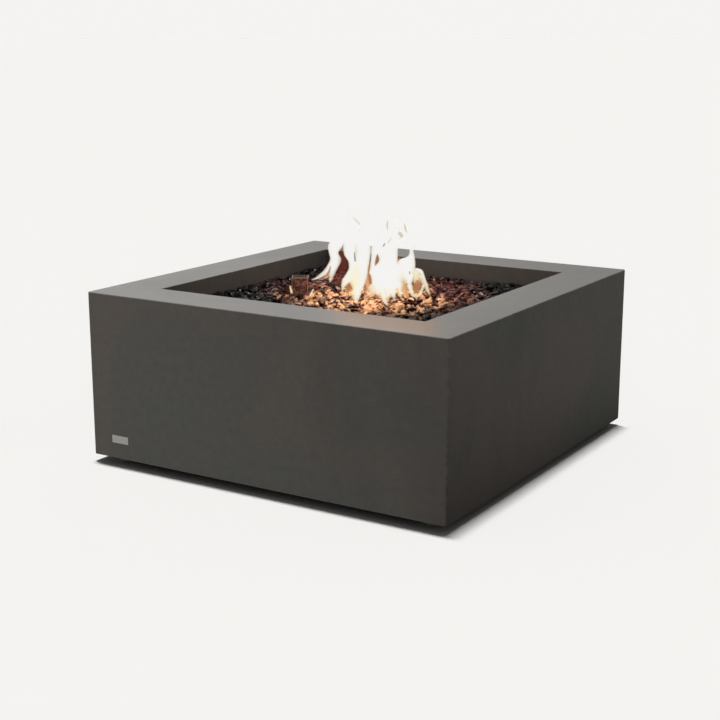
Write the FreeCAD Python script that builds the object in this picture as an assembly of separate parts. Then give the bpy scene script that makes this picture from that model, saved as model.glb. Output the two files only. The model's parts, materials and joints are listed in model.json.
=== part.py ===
import FreeCAD, Part

import itertools
import math
import os
import random

from FreeCAD import Vector

# Square table with a gas fire in its middle. Millimetres, +Z up, the floor at z = 0 under the
# table's centre. The front, with the small plate, faces -Y, and the controls face +Y.

# Cast shell
WIDTH = 1000.0
SHELL_HEIGHT = 412.0
FLOOR_GAP = 20.0
RIM_WIDTH = 127.0
WALL = 14.0
RIM_THICKNESS = 18.0
RECESS_WALL = 12.0
RECESS_DEPTH = 82.0
LEDGE_WIDTH = 24.0
LEDGE_THICKNESS = 12.0
CORNER_RADIUS = 6.0
EDGE_RADIUS = 2.5
RECESS_EDGE_RADIUS = 1.5
RIB_THICKNESS = 12.0
RIB_PLACES = (-240.0, 0.0, 240.0)
RIB_RISE = 8.0
RIB_DROP = 38.0
CORNER_PAD = 96.0
CORNER_PAD_HEIGHT = 30.0

HALF = WIDTH / 2
INSIDE = HALF - WALL
RECESS_HALF = HALF - RIM_WIDTH
SHELL_BOTTOM = FLOOR_GAP
RIM_TOP = SHELL_BOTTOM + SHELL_HEIGHT
LEDGE_TOP = RIM_TOP - RECESS_DEPTH
LEDGE_BOTTOM = LEDGE_TOP - LEDGE_THICKNESS

# Bare plate let into the front
PLATE_WIDTH = 51.0
PLATE_HEIGHT = 19.0
PLATE_THICKNESS = 2.0
PLATE_LEFT = -439.0
PLATE_BOTTOM = SHELL_BOTTOM + 39.0
PLATE_GAP = 0.3

# Levelling feet with M10 studs, in steel inserts
FOOT_INSET = 58.0
FOOT_RADIUS = 20.0
FOOT_TOP_RADIUS = 13.0
FOOT_HEIGHT = 12.0
FOOT_SKIRT = 5.0
SOCKET_DEPTH = 6.0
BALL_RADIUS = 4.0
STUD_RADIUS = 4.95
STUD_HEXAGON = 17.0
STUD_TOP = SHELL_BOTTOM + 27.0
INSERT_RADIUS = 8.0
INSERT_LENGTH = 29.0
FOOT_PLACES = {
    "front_left": (-1, -1),
    "front_right": (1, -1),
    "back_left": (-1, 1),
    "back_right": (1, 1),
}

# Clearances: FIT between pieces that fit each other, PLAY where they only pass
FIT = 0.05
PLAY = 0.3

# Burner tray of bent sheet, on the ledge
SHEET = 1.5
GASKET = 2.0
TRAY_CLEARANCE = 3.0
TRAY_DEPTH = 32.0
FLANGE_GAP = 3.0
DRAIN_REACH = 300.0
DRAIN_RADIUS = 4.0
TRAY_HALF = RECESS_HALF - LEDGE_WIDTH - TRAY_CLEARANCE
FLANGE_HALF = RECESS_HALF - FLANGE_GAP
FLANGE_TOP = LEDGE_TOP + GASKET + SHEET
TRAY_FLOOR = FLANGE_TOP - TRAY_DEPTH
TRAY_UNDERSIDE = TRAY_FLOOR - SHEET

# Ring burner, buried in the glass, on four saddles
RING_RADIUS = 140.0
RING_TUBE = 11.0
ARM_TUBE = 9.0
TUBE_WALL = 1.5
HUB_RADIUS = 24.0
HUB_LID = 3.0
PORT_RADIUS = 1.2
RING_PORTS = 32
ARM_PORTS = (45.0, 65.0, 85.0, 105.0)
BURNER_RISE = 8.0
BURNER_Z = TRAY_FLOOR + BURNER_RISE + RING_TUBE
SADDLE_ANGLES = (45, 135, 225, 315)
SADDLE_HALF = 10.0
SADDLE_HEIGHT = BURNER_RISE + 5.0
SADDLE_SCREW = 2.5
SADDLE_SCREW_HEAD = 4.5

# Gas fittings: half-inch pipe, and three-eighths flare ends
PIPE_RADIUS = 10.5
PIPE_BORE = 7.8
PIPE_GRIP = 8.0
LOCKNUT = 32.0
ELBOW_RADIUS = 14.5
ELBOW_REACH = 28.0
BEAD_LENGTH = 6.0
BEAD_RISE = 2.0
FEED_Z = TRAY_UNDERSIDE - 58.0
MIXER_RADIUS = 14.0
MIXER_START = 30.0
MIXER_END = 96.0
SLOT_START = 50.0
SLOT_END = 72.0
SLOT_HALF = 4.0
JET_THREAD = 6.0
JET_BORE = 1.2
FLARE_RADIUS = 7.94
FLARE_BORE = 4.0
FLARE_LENGTH = 18.0
FLARE_HEXAGON = 19.0
FLARE_SHOULDER = 8.0
FLARE_CONE = 3.5
THREAD_RADIUS = 7.0
THREAD_LENGTH = 10.0
LINE_RADIUS = 6.5
LINE_BEND = 95.0
LINE_TURNS = (210.0, 300.0)
FLARE_TIP = FLARE_SHOULDER + FLARE_LENGTH + FLARE_CONE

# Control niche in the back wall
NICHE_X = -242.0
NICHE_Z = 220.0
NICHE_WIDTH = 200.0
NICHE_HEIGHT = 116.0
NICHE_FLANGE = 15.0
NICHE_SCREW_INSET = 18.0
BOX_SCREW = 2.4
BOX_SCREW_HEAD = 4.5
BOX_INSERT = 4.0
BOX_INSERT_LENGTH = 11.0
SCREW_HEAD_HEIGHT = 3.0
PANEL_Y = 456.0
PANEL_BACK = PANEL_Y - SHEET
KNOB_X = NICHE_X - 43.0
IGNITER_X = NICHE_X + 44.0

# Gas valve, with its places along Y
BODY_FRONT = PANEL_BACK
BODY_BACK = 412.0
BODY_LEFT = 24.0
BODY_RIGHT = 42.0
BODY_HALF_HEIGHT = 22.0
BODY_EDGE = 3.0
NECK_RADIUS = 8.0
NECK_END = 464.0
PLUG_RADIUS = 9.0
PLUG_START = 420.0
PLUG_END = 444.0
PORT_Y = 426.0
OUTLET_X = KNOB_X + 26.0
STEM_RADIUS = 4.0
STEM_FLAT = 3.0
STEM_START = 431.0
STEM_END = 482.0
STEM_COLLAR = 6.4
COLLAR_START = 457.4
COLLAR_END = 460.2
SPRING_RADIUS = 5.7
SPRING_BORE = 4.7
MAGNET_HEXAGON = 20.0
MAGNET_HEXAGON_LENGTH = 14.0
MAGNET_RADIUS = 6.0
MAGNET_END = 384.0
NOSE_NUT = 22.0
NOSE_NUT_HEIGHT = 5.0
DIAL_RADIUS = 33.0
DIAL_BORE = 13.5
DIAL_THICKNESS = 1.2
VALVE_BOTTOM = NICHE_Z - BODY_HALF_HEIGHT

# Control knob
KNOB_RADIUS = 22.0
KNOB_TAPER = 2.5
KNOB_BACK = 463.0
KNOB_FRONT = 487.0
KNOB_EDGE = 2.5
FLUTES = 10
FLUTE_RADIUS = 6.0
FLUTE_REACH = KNOB_RADIUS + 3.5
FLUTE_START = KNOB_BACK + 5.0
KNOB_HOLLOW = 15.0
KNOB_HOLLOW_END = KNOB_BACK + 7.0
KNOB_GRIP = 0.02

# Igniter, holding one AA cell behind a screw cap
BARREL_RADIUS = 11.0
BARREL_START = 386.0
BARREL_BORE = 7.7
TERMINAL_RADIUS = 2.0
TERMINAL_START = 380.0
HOUSING_FLANGE = 14.5
HOUSING_FLANGE_END = PANEL_Y + 2.6
NOSE_RADIUS = 9.5
CAP_RADIUS = 12.5
CAP_START = PANEL_Y + 3.0
CAP_FRONT = 466.5
CAP_LIP = 2.3
CAP_EDGE = 1.0
COLLAR_RADIUS = 7.4
BUTTON_RADIUS = 6.0
BUTTON_FRONT = 475.0
BUTTON_BACK = 459.0
BUTTON_EDGE = 1.5
IGNITER_NUT = 30.0
IGNITER_NUT_HEIGHT = 6.0
CELL_START = 389.0
CELL_RADIUS = 7.25
CELL_LENGTH = 50.5
CELL_TIP_RADIUS = 2.75
BUTTON_SPRING = 6.5
BUTTON_SPRING_BORE = 5.5
BUTTON_SPRING_START = 441.0

# Spark electrode and thermocouple, in a perforated guard beside the ring
GUARD_X = -205.0
GUARD_Y = -10.0
GUARD_TURN = 31.4
GUARD_HALF = 21.0
GUARD_TOP = 424.0
GUARD_SHEET = 1.2
GUARD_HOLE = 2.2
GUARD_HOLE_STEP = 7.0
GUARD_HOLE_ROWS = 7
TAB_LENGTH = 14.0
TAB_HALF_WIDTH = 6.0
TAB_HOLE_REACH = GUARD_HALF + 8.0
GUARD_SCREW = 2.0
GUARD_SCREW_HEAD = 3.8
GUARD_NUT = 7.0
GUARD_NUT_HEIGHT = 3.2
SENSOR_HOLE = 15.0
SENSOR_SPREAD = 9.0
BRACKET_HALF_LENGTH = 18.0
BRACKET_HALF_WIDTH = 7.0
BRACKET_TOP = TRAY_FLOOR + 18.0
CERAMIC_RADIUS = 4.0
CERAMIC_COLLAR = 5.5
CERAMIC_BORE = 1.25
CERAMIC_START = TRAY_UNDERSIDE - 14.0
CERAMIC_END = TRAY_FLOOR + 46.0
SPARK_WIRE = 1.2
SPARK_WIRE_START = TRAY_UNDERSIDE - 18.0
SPARK_WIRE_RISE = 24.0
SPARK_WIRE_TIP_RISE = 5.0
SPARK_WIRE_BEND = 4.0
PROBE_RADIUS = 3.2
PROBE_COLLAR = 5.0
PROBE_TIP = 2.0
PROBE_START = TRAY_UNDERSIDE - 4.0
PROBE_SHOULDER = TRAY_FLOOR + 34.0
PROBE_END = TRAY_FLOOR + 78.0
LEAD_Z = TRAY_UNDERSIDE - 48.0
SPARK_LEAD_RADIUS = 2.5
SPARK_LEAD_TURNS = (275.0, 332.0)
SPARK_LEAD_BENDS = [26.0, 70.0, 70.0]
SENSOR_LEAD_RADIUS = 1.5
SENSOR_LEAD_TURNS = (240.0, 330.0)
SENSOR_LEAD_BENDS = [30.0, 60.0, 60.0]
HANGER_PLACES = (90.0, 210.0)
HANGER_MARGIN = 10.0

# Fire glass
GLASS_TOP = 372.0
GLASS_ROOM = 0.5
CHIP_HIGHEST = RIM_TOP - 38.0
CHIP_LARGEST = 19.0
CHIP_SMALLEST = 9.5
CHIP_TRIES = 5000
CHIP_GAP = 0.3
CHIP_SEED = 7

Y_AXIS = Vector(0, 1, 0)
Z_AXIS = Vector(0, 0, 1)


def block(low, high):
    """A box between two opposite corners."""
    size = [top - bottom for bottom, top in zip(low, high)]
    return Part.makeBox(*size, Vector(*low))


def square(half, bottom, top):
    """A square slab about the table's centre line."""
    return block((-half, -half, bottom), (half, half, top))


def rod(radius, start, end):
    """A round bar from one point to another."""
    start = Vector(*start)
    along = Vector(*end) - start
    return Part.makeCylinder(radius, along.Length, start, along)


def upright(radius, x, y, bottom, top):
    """A round bar along Z."""
    return rod(radius, (x, y, bottom), (x, y, top))


def pipe(radius, bore, start, end):
    """A round tube from one point to another."""
    return rod(radius, start, end).cut(rod(bore, start, end))


def hexagon(across_flats, start, end):
    """A hexagonal bar from one point to another."""
    start = Vector(*start)
    along = Vector(*end) - start
    reach = across_flats / math.sqrt(3)
    angles = [math.radians(60 * k) for k in range(7)]
    outline = [Vector(reach * math.cos(a), reach * math.sin(a), 0) for a in angles]
    bar = Part.Face(Part.makePolygon(outline)).extrude(Vector(0, 0, along.Length))
    bar.Placement = FreeCAD.Placement(start, FreeCAD.Rotation(Z_AXIS, along))
    return bar


def nut(across_flats, bore, start, end):
    """A hexagonal nut from one point to another."""
    return hexagon(across_flats, start, end).cut(rod(bore, start, end))


def joined(shapes):
    """One solid, or one group of touching solids, from several."""
    first, *others = shapes
    return first.fuse(others).removeSplitter()


def edges_where(shape, test):
    """The edges whose middle point and direction pass a test."""
    chosen = []
    for edge in shape.Edges:
        middle = edge.valueAt((edge.FirstParameter + edge.LastParameter) / 2)
        along = edge.Vertexes[-1].Point - edge.Vertexes[0].Point
        if test(middle, along):
            chosen.append(edge)
    return chosen


def rounded_front(shape, y, radius):
    """The same shape with its edges in one plane across Y rounded."""
    return shape.makeFillet(radius, edges_where(shape, lambda middle, along: abs(middle.y - y) < 0.01))


def bent_tube(name, radius, points, bends):
    """A solid round tube along straight runs joined by tangent arcs."""
    points = [Vector(*p) for p in points]
    pieces = []
    here = points[0]
    for before, corner, after, bend in zip(points, points[1:], points[2:], bends):
        coming = (corner - before).normalize()
        going = (after - corner).normalize()
        turn = coming.getAngle(going)
        reach = bend * math.tan(turn / 2)
        start = corner - coming * reach
        end = corner + going * reach
        inward = (going - coming).normalize()
        middle = corner + inward * (bend / math.cos(turn / 2) - bend)
        pieces.append(Part.LineSegment(here, start).toShape())
        pieces.append(Part.Arc(start, middle, end).toShape())
        here = end
    pieces.append(Part.LineSegment(here, points[-1]).toShape())
    path = Part.Wire(pieces)
    section = Part.Wire(Part.makeCircle(radius, points[0], points[1] - points[0]))
    tube = path.makePipeShell([section], True, True)
    share = tube.Volume / (math.pi * radius**2 * path.Length)
    print(f"{name}: radii {bends}, length {path.Length:.0f}, volume {share:.4f} of section x length")
    return tube


def in_guard_frame(shape):
    """Turns and moves a shape drawn about the origin to the guard's place."""
    shape = shape.copy()
    shape.rotate(Vector(0, 0, 0), Z_AXIS, GUARD_TURN)
    shape.translate(Vector(GUARD_X, GUARD_Y, 0))
    return shape


def sensor_place(side):
    """Where the electrode (side 1) and the thermocouple (side -1) stand."""
    turn = math.radians(GUARD_TURN)
    reach = side * SENSOR_SPREAD
    return GUARD_X + reach * math.cos(turn), GUARD_Y + reach * math.sin(turn)


# Shell and its plate


def niche_box(start, end, grow=0.0):
    """A block as wide and high as the niche, between two depths along Y."""
    wide = NICHE_WIDTH / 2 + grow
    high = NICHE_HEIGHT / 2 + grow
    return block((NICHE_X - wide, start, NICHE_Z - high), (NICHE_X + wide, end, NICHE_Z + high))


def niche_screw_places():
    """The four fixing points round the niche, as x and z."""
    wide = (NICHE_WIDTH + NICHE_FLANGE) / 2
    high = NICHE_HEIGHT / 2 - NICHE_SCREW_INSET
    return [(NICHE_X + a * wide, NICHE_Z + b * high) for a in (-1, 1) for b in (-1, 1)]


def plate_block(grow):
    """The plate's block, sunk in the front face, grown sideways for its pocket."""
    right = PLATE_LEFT + PLATE_WIDTH
    top = PLATE_BOTTOM + PLATE_HEIGHT
    low = (PLATE_LEFT - grow, -HALF, PLATE_BOTTOM - grow)
    return block(low, (right + grow, -HALF + PLATE_THICKNESS, top + grow))


def rib(place):
    """One stiffening rib under the rim on the +X side, from the outer wall to the recess."""
    recess_outside = RECESS_HALF + RECESS_WALL
    under_rim = RIM_TOP - RIM_THICKNESS
    outline = [
        (recess_outside, LEDGE_BOTTOM + RIB_RISE),
        (recess_outside, under_rim),
        (INSIDE, under_rim),
        (INSIDE, LEDGE_BOTTOM - RIB_DROP),
    ]
    y = place - RIB_THICKNESS / 2
    corners = [Vector(x, y, z) for x, z in outline]
    return Part.Face(Part.makePolygon(corners + corners[:1])).extrude(Vector(0, RIB_THICKNESS, 0))


def corner_pad():
    """The pad in the +X +Y corner that takes a foot, with its free corner cut off."""
    low = INSIDE - CORNER_PAD
    cut = CORNER_PAD / 3
    outline = [(low, INSIDE), (INSIDE, INSIDE), (INSIDE, low), (low + cut, low), (low, low + cut)]
    corners = [Vector(x, y, SHELL_BOTTOM) for x, y in outline]
    return Part.Face(Part.makePolygon(corners + corners[:1])).extrude(Vector(0, 0, CORNER_PAD_HEIGHT))


def quarter_turns(shape):
    """Four copies of a shape, a quarter turn apart about the centre line."""
    copies = []
    for quarter in range(4):
        copy = shape.copy()
        copy.rotate(Vector(0, 0, 0), Z_AXIS, 90 * quarter)
        copies.append(copy)
    return copies


def table_shell():
    shell = square(HALF, SHELL_BOTTOM, RIM_TOP)
    corners = edges_where(shell, lambda middle, along: abs(along.z) > 1)
    shell = shell.makeFillet(CORNER_RADIUS, corners)
    top_loop = edges_where(shell, lambda middle, along: abs(middle.z - RIM_TOP) < 0.01)
    shell = shell.makeFillet(EDGE_RADIUS, top_loop)
    shell = shell.cut(square(INSIDE, SHELL_BOTTOM - 1, RIM_TOP - RIM_THICKNESS))
    shell = shell.fuse(square(RECESS_HALF + RECESS_WALL, LEDGE_BOTTOM, RIM_TOP - RIM_THICKNESS / 2))
    shell = shell.cut(square(RECESS_HALF, LEDGE_TOP, RIM_TOP + 1))
    shell = shell.cut(square(RECESS_HALF - LEDGE_WIDTH, LEDGE_BOTTOM - 1, LEDGE_TOP + 1))
    mouth = edges_where(
        shell,
        lambda middle, along: abs(middle.z - RIM_TOP) < 0.01
        and max(abs(middle.x), abs(middle.y)) < RECESS_HALF + 0.01,
    )
    shell = shell.makeFillet(RECESS_EDGE_RADIUS, mouth)
    ribs = [copy for place in RIB_PLACES for copy in quarter_turns(rib(place))]
    shell = joined([shell, *ribs, *quarter_turns(corner_pad())])
    for x, y in foot_centres():
        shell = shell.cut(upright(INSERT_RADIUS + FIT, x, y, SHELL_BOTTOM - 1, SHELL_BOTTOM + INSERT_LENGTH))
    shell = shell.cut(niche_box(INSIDE - 1, HALF + 1))
    for x, z in niche_screw_places():
        shell = shell.cut(rod(BOX_INSERT + FIT, (x, INSIDE - 1, z), (x, INSIDE + BOX_INSERT_LENGTH, z)))
    return shell.cut(plate_block(PLATE_GAP))


def badge_plate():
    return plate_block(0.0)


# Feet


def foot_centres():
    """Each foot's centre, in the order of FOOT_PLACES."""
    reach = HALF - FOOT_INSET
    return [(reach * a, reach * b) for a, b in FOOT_PLACES.values()]


def foot_inserts():
    """A steel sleeve in each corner pad, for the stud's thread."""
    inserts = []
    for x, y in foot_centres():
        sleeve = upright(INSERT_RADIUS, x, y, SHELL_BOTTOM, SHELL_BOTTOM + INSERT_LENGTH)
        inserts.append(sleeve.cut(upright(STUD_RADIUS + FIT, x, y, SHELL_BOTTOM - 1, STUD_TOP + WALL)))
    return Part.makeCompound(inserts)


def foot_stud(x, y):
    """A stud with a round end in the pad, a hexagon to turn it by, and its thread in the insert."""
    ball_end = upright(BALL_RADIUS, x, y, SOCKET_DEPTH, FOOT_HEIGHT + 1)
    grip = hexagon(STUD_HEXAGON, (x, y, FOOT_HEIGHT + PLAY), (x, y, SHELL_BOTTOM - PLAY))
    thread = upright(STUD_RADIUS, x, y, SHELL_BOTTOM - 1, STUD_TOP)
    return joined([ball_end, grip, thread])


def foot_pad(x, y):
    """A round pad, flared to the floor, with a socket for the stud."""
    skirt = upright(FOOT_RADIUS, x, y, 0, FOOT_SKIRT)
    rise = FOOT_HEIGHT - FOOT_SKIRT
    dome = Part.makeCone(FOOT_RADIUS, FOOT_TOP_RADIUS, rise, Vector(x, y, FOOT_SKIRT))
    socket = upright(BALL_RADIUS + FIT, x, y, SOCKET_DEPTH - FIT, FOOT_HEIGHT + 1)
    return joined([skirt, dome]).cut(socket)


# Tray


def tray_gasket():
    strip = square(FLANGE_HALF, LEDGE_TOP, LEDGE_TOP + GASKET)
    return strip.cut(square(RECESS_HALF - LEDGE_WIDTH, LEDGE_TOP - 1, LEDGE_TOP + GASKET + 1))


def saddle_places():
    """Where the four saddles stand under the ring."""
    angles = [math.radians(a) for a in SADDLE_ANGLES]
    return [(RING_RADIUS * math.cos(a), RING_RADIUS * math.sin(a)) for a in angles]


def guard_tab_places():
    """The guard's two fixing points, in its own frame."""
    return [(-TAB_HOLE_REACH, 0.0), (TAB_HOLE_REACH, 0.0)]


def through_tray(radius, x, y):
    """A bar that passes right through the tray's floor."""
    return upright(radius, x, y, TRAY_UNDERSIDE - 1, TRAY_FLOOR + 1)


def burner_tray():
    pan = square(TRAY_HALF, TRAY_UNDERSIDE, FLANGE_TOP)
    pan = pan.fuse(square(FLANGE_HALF, FLANGE_TOP - SHEET, FLANGE_TOP))
    pan = pan.cut(square(TRAY_HALF - SHEET, TRAY_FLOOR, FLANGE_TOP + 1)).removeSplitter()
    holes = [through_tray(PIPE_RADIUS + PLAY, 0, 0)]
    holes += [through_tray(SADDLE_SCREW + PLAY, x, y) for x, y in saddle_places()]
    holes.append(in_guard_frame(through_tray(SENSOR_HOLE, 0, 0)))
    holes += [in_guard_frame(through_tray(GUARD_SCREW + PLAY, x, y)) for x, y in guard_tab_places()]
    drains = [(DRAIN_REACH * a, DRAIN_REACH * b) for a in (-1, 0, 1) for b in (-1, 0, 1) if a or b]
    holes += [through_tray(DRAIN_RADIUS, x, y) for x, y in drains]
    return pan.cut(holes)


# Burner


def burner_tubes(shrink):
    """The ring and its two arms, as solid bars shrunk by the wall's thickness."""
    ring = Part.makeTorus(RING_RADIUS, RING_TUBE - shrink, Vector(0, 0, BURNER_Z))
    arms = rod(ARM_TUBE - shrink, (-RING_RADIUS, 0, BURNER_Z), (RING_RADIUS, 0, BURNER_Z))
    return ring.fuse(arms)


def port_places():
    """Gas ports on top of the ring and along its arms, clear of where they cross."""
    ring = []
    for k in range(RING_PORTS):
        angle = 2 * math.pi * (k + 0.5) / RING_PORTS
        ring.append((RING_RADIUS * math.cos(angle), RING_RADIUS * math.sin(angle)))
    return ring + [(side * reach, 0.0) for side in (-1, 1) for reach in ARM_PORTS]


def burner_ring():
    """Ring, arms and hub, hollow inside, with the nipple's socket under the hub."""
    bottom = TRAY_FLOOR + BURNER_RISE
    top = BURNER_Z + RING_TUBE
    hub = upright(HUB_RADIUS, 0, 0, bottom, top)
    socket = upright(PIPE_RADIUS + FIT, 0, 0, bottom - 1, top - HUB_LID)
    burner = burner_tubes(0).fuse(hub).cut(burner_tubes(TUBE_WALL)).cut(socket)
    return burner.cut([upright(PORT_RADIUS, x, y, BURNER_Z, top + 1) for x, y in port_places()])


def saddle_block(x, y, grow):
    """A saddle's plain block on the tray, grown for the room it needs in the glass."""
    half = SADDLE_HALF + grow
    return block((x - half, y - half, TRAY_FLOOR), (x + half, y + half, TRAY_FLOOR + SADDLE_HEIGHT + grow))


def burner_saddles():
    """Four blocks on the tray, hollowed on top to hold the ring."""
    ring = Part.makeTorus(RING_RADIUS, RING_TUBE + FIT, Vector(0, 0, BURNER_Z))
    saddles = []
    for x, y in saddle_places():
        thread = upright(SADDLE_SCREW + FIT, x, y, TRAY_FLOOR - 1, TRAY_FLOOR + 6)
        saddles.append(saddle_block(x, y, 0.0).cut(ring).cut(thread))
    return Part.makeCompound(saddles)


def saddle_screws():
    """Screws up through the tray into the saddles."""
    screws = []
    for x, y in saddle_places():
        head = upright(SADDLE_SCREW_HEAD, x, y, TRAY_UNDERSIDE - SCREW_HEAD_HEIGHT, TRAY_UNDERSIDE)
        shank = upright(SADDLE_SCREW, x, y, TRAY_UNDERSIDE - 1, TRAY_FLOOR + 5.5)
        screws.append(joined([head, shank]))
    return Part.makeCompound(screws)


# Gas feed under the tray


def hub_nipple():
    return pipe(PIPE_RADIUS, PIPE_BORE, (0, 0, FEED_Z + PIPE_GRIP), (0, 0, BURNER_Z + 2))


def nipple_locknuts():
    """Two thin nuts that clamp the nipple to the tray's floor."""
    bore = PIPE_RADIUS + FIT
    below = nut(LOCKNUT, bore, (0, 0, TRAY_UNDERSIDE - 6), (0, 0, TRAY_UNDERSIDE))
    above = nut(LOCKNUT, bore, (0, 0, TRAY_FLOOR), (0, 0, TRAY_FLOOR + 5))
    return Part.makeCompound([below, above])


def feed_elbow():
    """An elbow with a beaded mouth upwards and one towards the back."""
    centre = Vector(0, 0, FEED_Z)
    outside = [Part.makeSphere(ELBOW_RADIUS, centre)]
    passage = [Part.makeSphere(PIPE_BORE, centre)]
    for along in (Z_AXIS, Y_AXIS):
        mouth = centre + along * ELBOW_REACH
        outside.append(rod(ELBOW_RADIUS, centre, mouth))
        outside.append(rod(ELBOW_RADIUS + BEAD_RISE, mouth - along * BEAD_LENGTH, mouth))
        passage.append(rod(PIPE_BORE, centre, mouth + along))
        passage.append(rod(PIPE_RADIUS + FIT, centre + along * PIPE_GRIP, mouth + along))
    return joined(outside).cut(passage)


def air_mixer():
    """A tube with four air slots, from the elbow to the gas jet."""
    tail_end = MIXER_START + 1
    chamber_end = MIXER_END - 12
    tail = rod(PIPE_RADIUS, (0, ELBOW_REACH / 2, FEED_Z), (0, tail_end, FEED_Z))
    barrel = rod(MIXER_RADIUS, (0, MIXER_START, FEED_Z), (0, MIXER_END, FEED_Z))
    mixer = joined([tail, barrel])
    mixer = mixer.cut(rod(PIPE_BORE, (0, 0, FEED_Z), (0, chamber_end, FEED_Z)))
    mixer = mixer.cut(rod(JET_THREAD + FIT, (0, chamber_end - 1, FEED_Z), (0, MIXER_END + 1, FEED_Z)))
    across = MIXER_RADIUS + 1
    slots = [
        block((-wide, SLOT_START, FEED_Z - high), (wide, SLOT_END, FEED_Z + high))
        for wide, high in ((SLOT_HALF, across), (across, SLOT_HALF))
    ]
    return mixer.cut(slots)


def flare_fitting(seat, along, thread, bore):
    """A hexagon on its seat, a threaded tail behind it and a flare nose ahead of it."""
    seat = Vector(*seat)
    shoulder = seat + along * FLARE_SHOULDER
    tip = shoulder + along * FLARE_LENGTH
    tail = rod(thread, seat - along * THREAD_LENGTH, seat + along)
    grip = hexagon(FLARE_HEXAGON, seat, shoulder)
    nose = rod(FLARE_RADIUS, shoulder - along, tip)
    cone = Part.makeCone(FLARE_RADIUS, FLARE_RADIUS - 3, FLARE_CONE, tip, along)
    passage = rod(bore, seat - along * (THREAD_LENGTH + 1), seat + along * (FLARE_TIP + 1))
    return joined([tail, grip, nose, cone]).cut(passage)


JET_SEAT = (0, MIXER_END, FEED_Z)
OUTLET_SEAT = (OUTLET_X, BODY_BACK, NICHE_Z)
INLET_SEAT = (KNOB_X, PORT_Y, VALVE_BOTTOM)


def gas_jet():
    return flare_fitting(JET_SEAT, Y_AXIS, JET_THREAD, JET_BORE)


def valve_outlet():
    return flare_fitting(OUTLET_SEAT, -Y_AXIS, THREAD_RADIUS, FLARE_BORE)


def gas_inlet():
    return flare_fitting(INLET_SEAT, -Z_AXIS, THREAD_RADIUS, FLARE_BORE)


def gas_line():
    """The bent line from the valve to the burner's jet."""
    gap = 0.1
    start = (0, MIXER_END + FLARE_TIP + gap, FEED_Z)
    end = (OUTLET_X, BODY_BACK - FLARE_TIP - gap, NICHE_Z)
    low_turn, high_turn = LINE_TURNS
    points = [start, (0, low_turn, FEED_Z), (OUTLET_X, high_turn, NICHE_Z), end]
    return bent_tube("gas_line", LINE_RADIUS, points, [LINE_BEND, LINE_BEND])


def gas_line_nuts():
    """A flare nut on each end of the line."""
    nuts = []
    for seat, along in ((JET_SEAT, Y_AXIS), (OUTLET_SEAT, -Y_AXIS)):
        seat = Vector(*seat)
        start = seat + along * (FLARE_SHOULDER + 3)
        inside = seat + along * FLARE_TIP
        end = inside + along * 8
        shape = hexagon(FLARE_HEXAGON, start, end)
        shape = shape.cut(rod(FLARE_RADIUS + FIT, start - along, inside))
        nuts.append(shape.cut(rod(LINE_RADIUS + FIT, inside - along, end + along)))
    return Part.makeCompound(nuts)


# Control niche


def control_box():
    """A pan of bent sheet behind the opening, with its flange against the wall's inner face."""
    box = niche_box(PANEL_BACK, INSIDE, SHEET)
    box = box.fuse(niche_box(INSIDE - SHEET, INSIDE, NICHE_FLANGE))
    box = box.cut(niche_box(PANEL_Y, INSIDE + 1)).removeSplitter()
    holes = [rod(BOX_SCREW + PLAY, (x, PANEL_Y, z), (x, INSIDE + 1, z)) for x, z in niche_screw_places()]
    holes.append(rod(NECK_RADIUS + PLAY, *along_valve(PANEL_BACK - 1, PANEL_Y + 1)))
    holes.append(rod(BARREL_RADIUS + PLAY, *along_igniter(PANEL_BACK - 1, PANEL_Y + 1)))
    return box.cut(holes)


def box_screws():
    """Screws through the niche's flange into the back wall."""
    screws = []
    under_head = INSIDE - SHEET
    for x, z in niche_screw_places():
        head = rod(BOX_SCREW_HEAD, (x, under_head - SCREW_HEAD_HEIGHT, z), (x, under_head, z))
        shank = rod(BOX_SCREW, (x, under_head - 1, z), (x, INSIDE + BOX_INSERT_LENGTH - 2, z))
        screws.append(joined([head, shank]))
    return Part.makeCompound(screws)


def box_inserts():
    """Threaded inserts cast into the back wall."""
    inserts = []
    for x, z in niche_screw_places():
        inserts.append(pipe(BOX_INSERT, BOX_SCREW + FIT, (x, INSIDE, z), (x, INSIDE + BOX_INSERT_LENGTH, z)))
    return Part.makeCompound(inserts)


# Valve


def along_valve(start, end):
    """Two points on the valve's axis."""
    return (KNOB_X, start, NICHE_Z), (KNOB_X, end, NICHE_Z)


def flatted_bar(radius, flat, start, end):
    """A round bar on the valve's axis with one flat side, towards +X."""
    reach = radius + 1
    keep = block((KNOB_X - reach, start, NICHE_Z - reach), (KNOB_X + flat, end, NICHE_Z + reach))
    return rod(radius, *along_valve(start, end)).common(keep)


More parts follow.
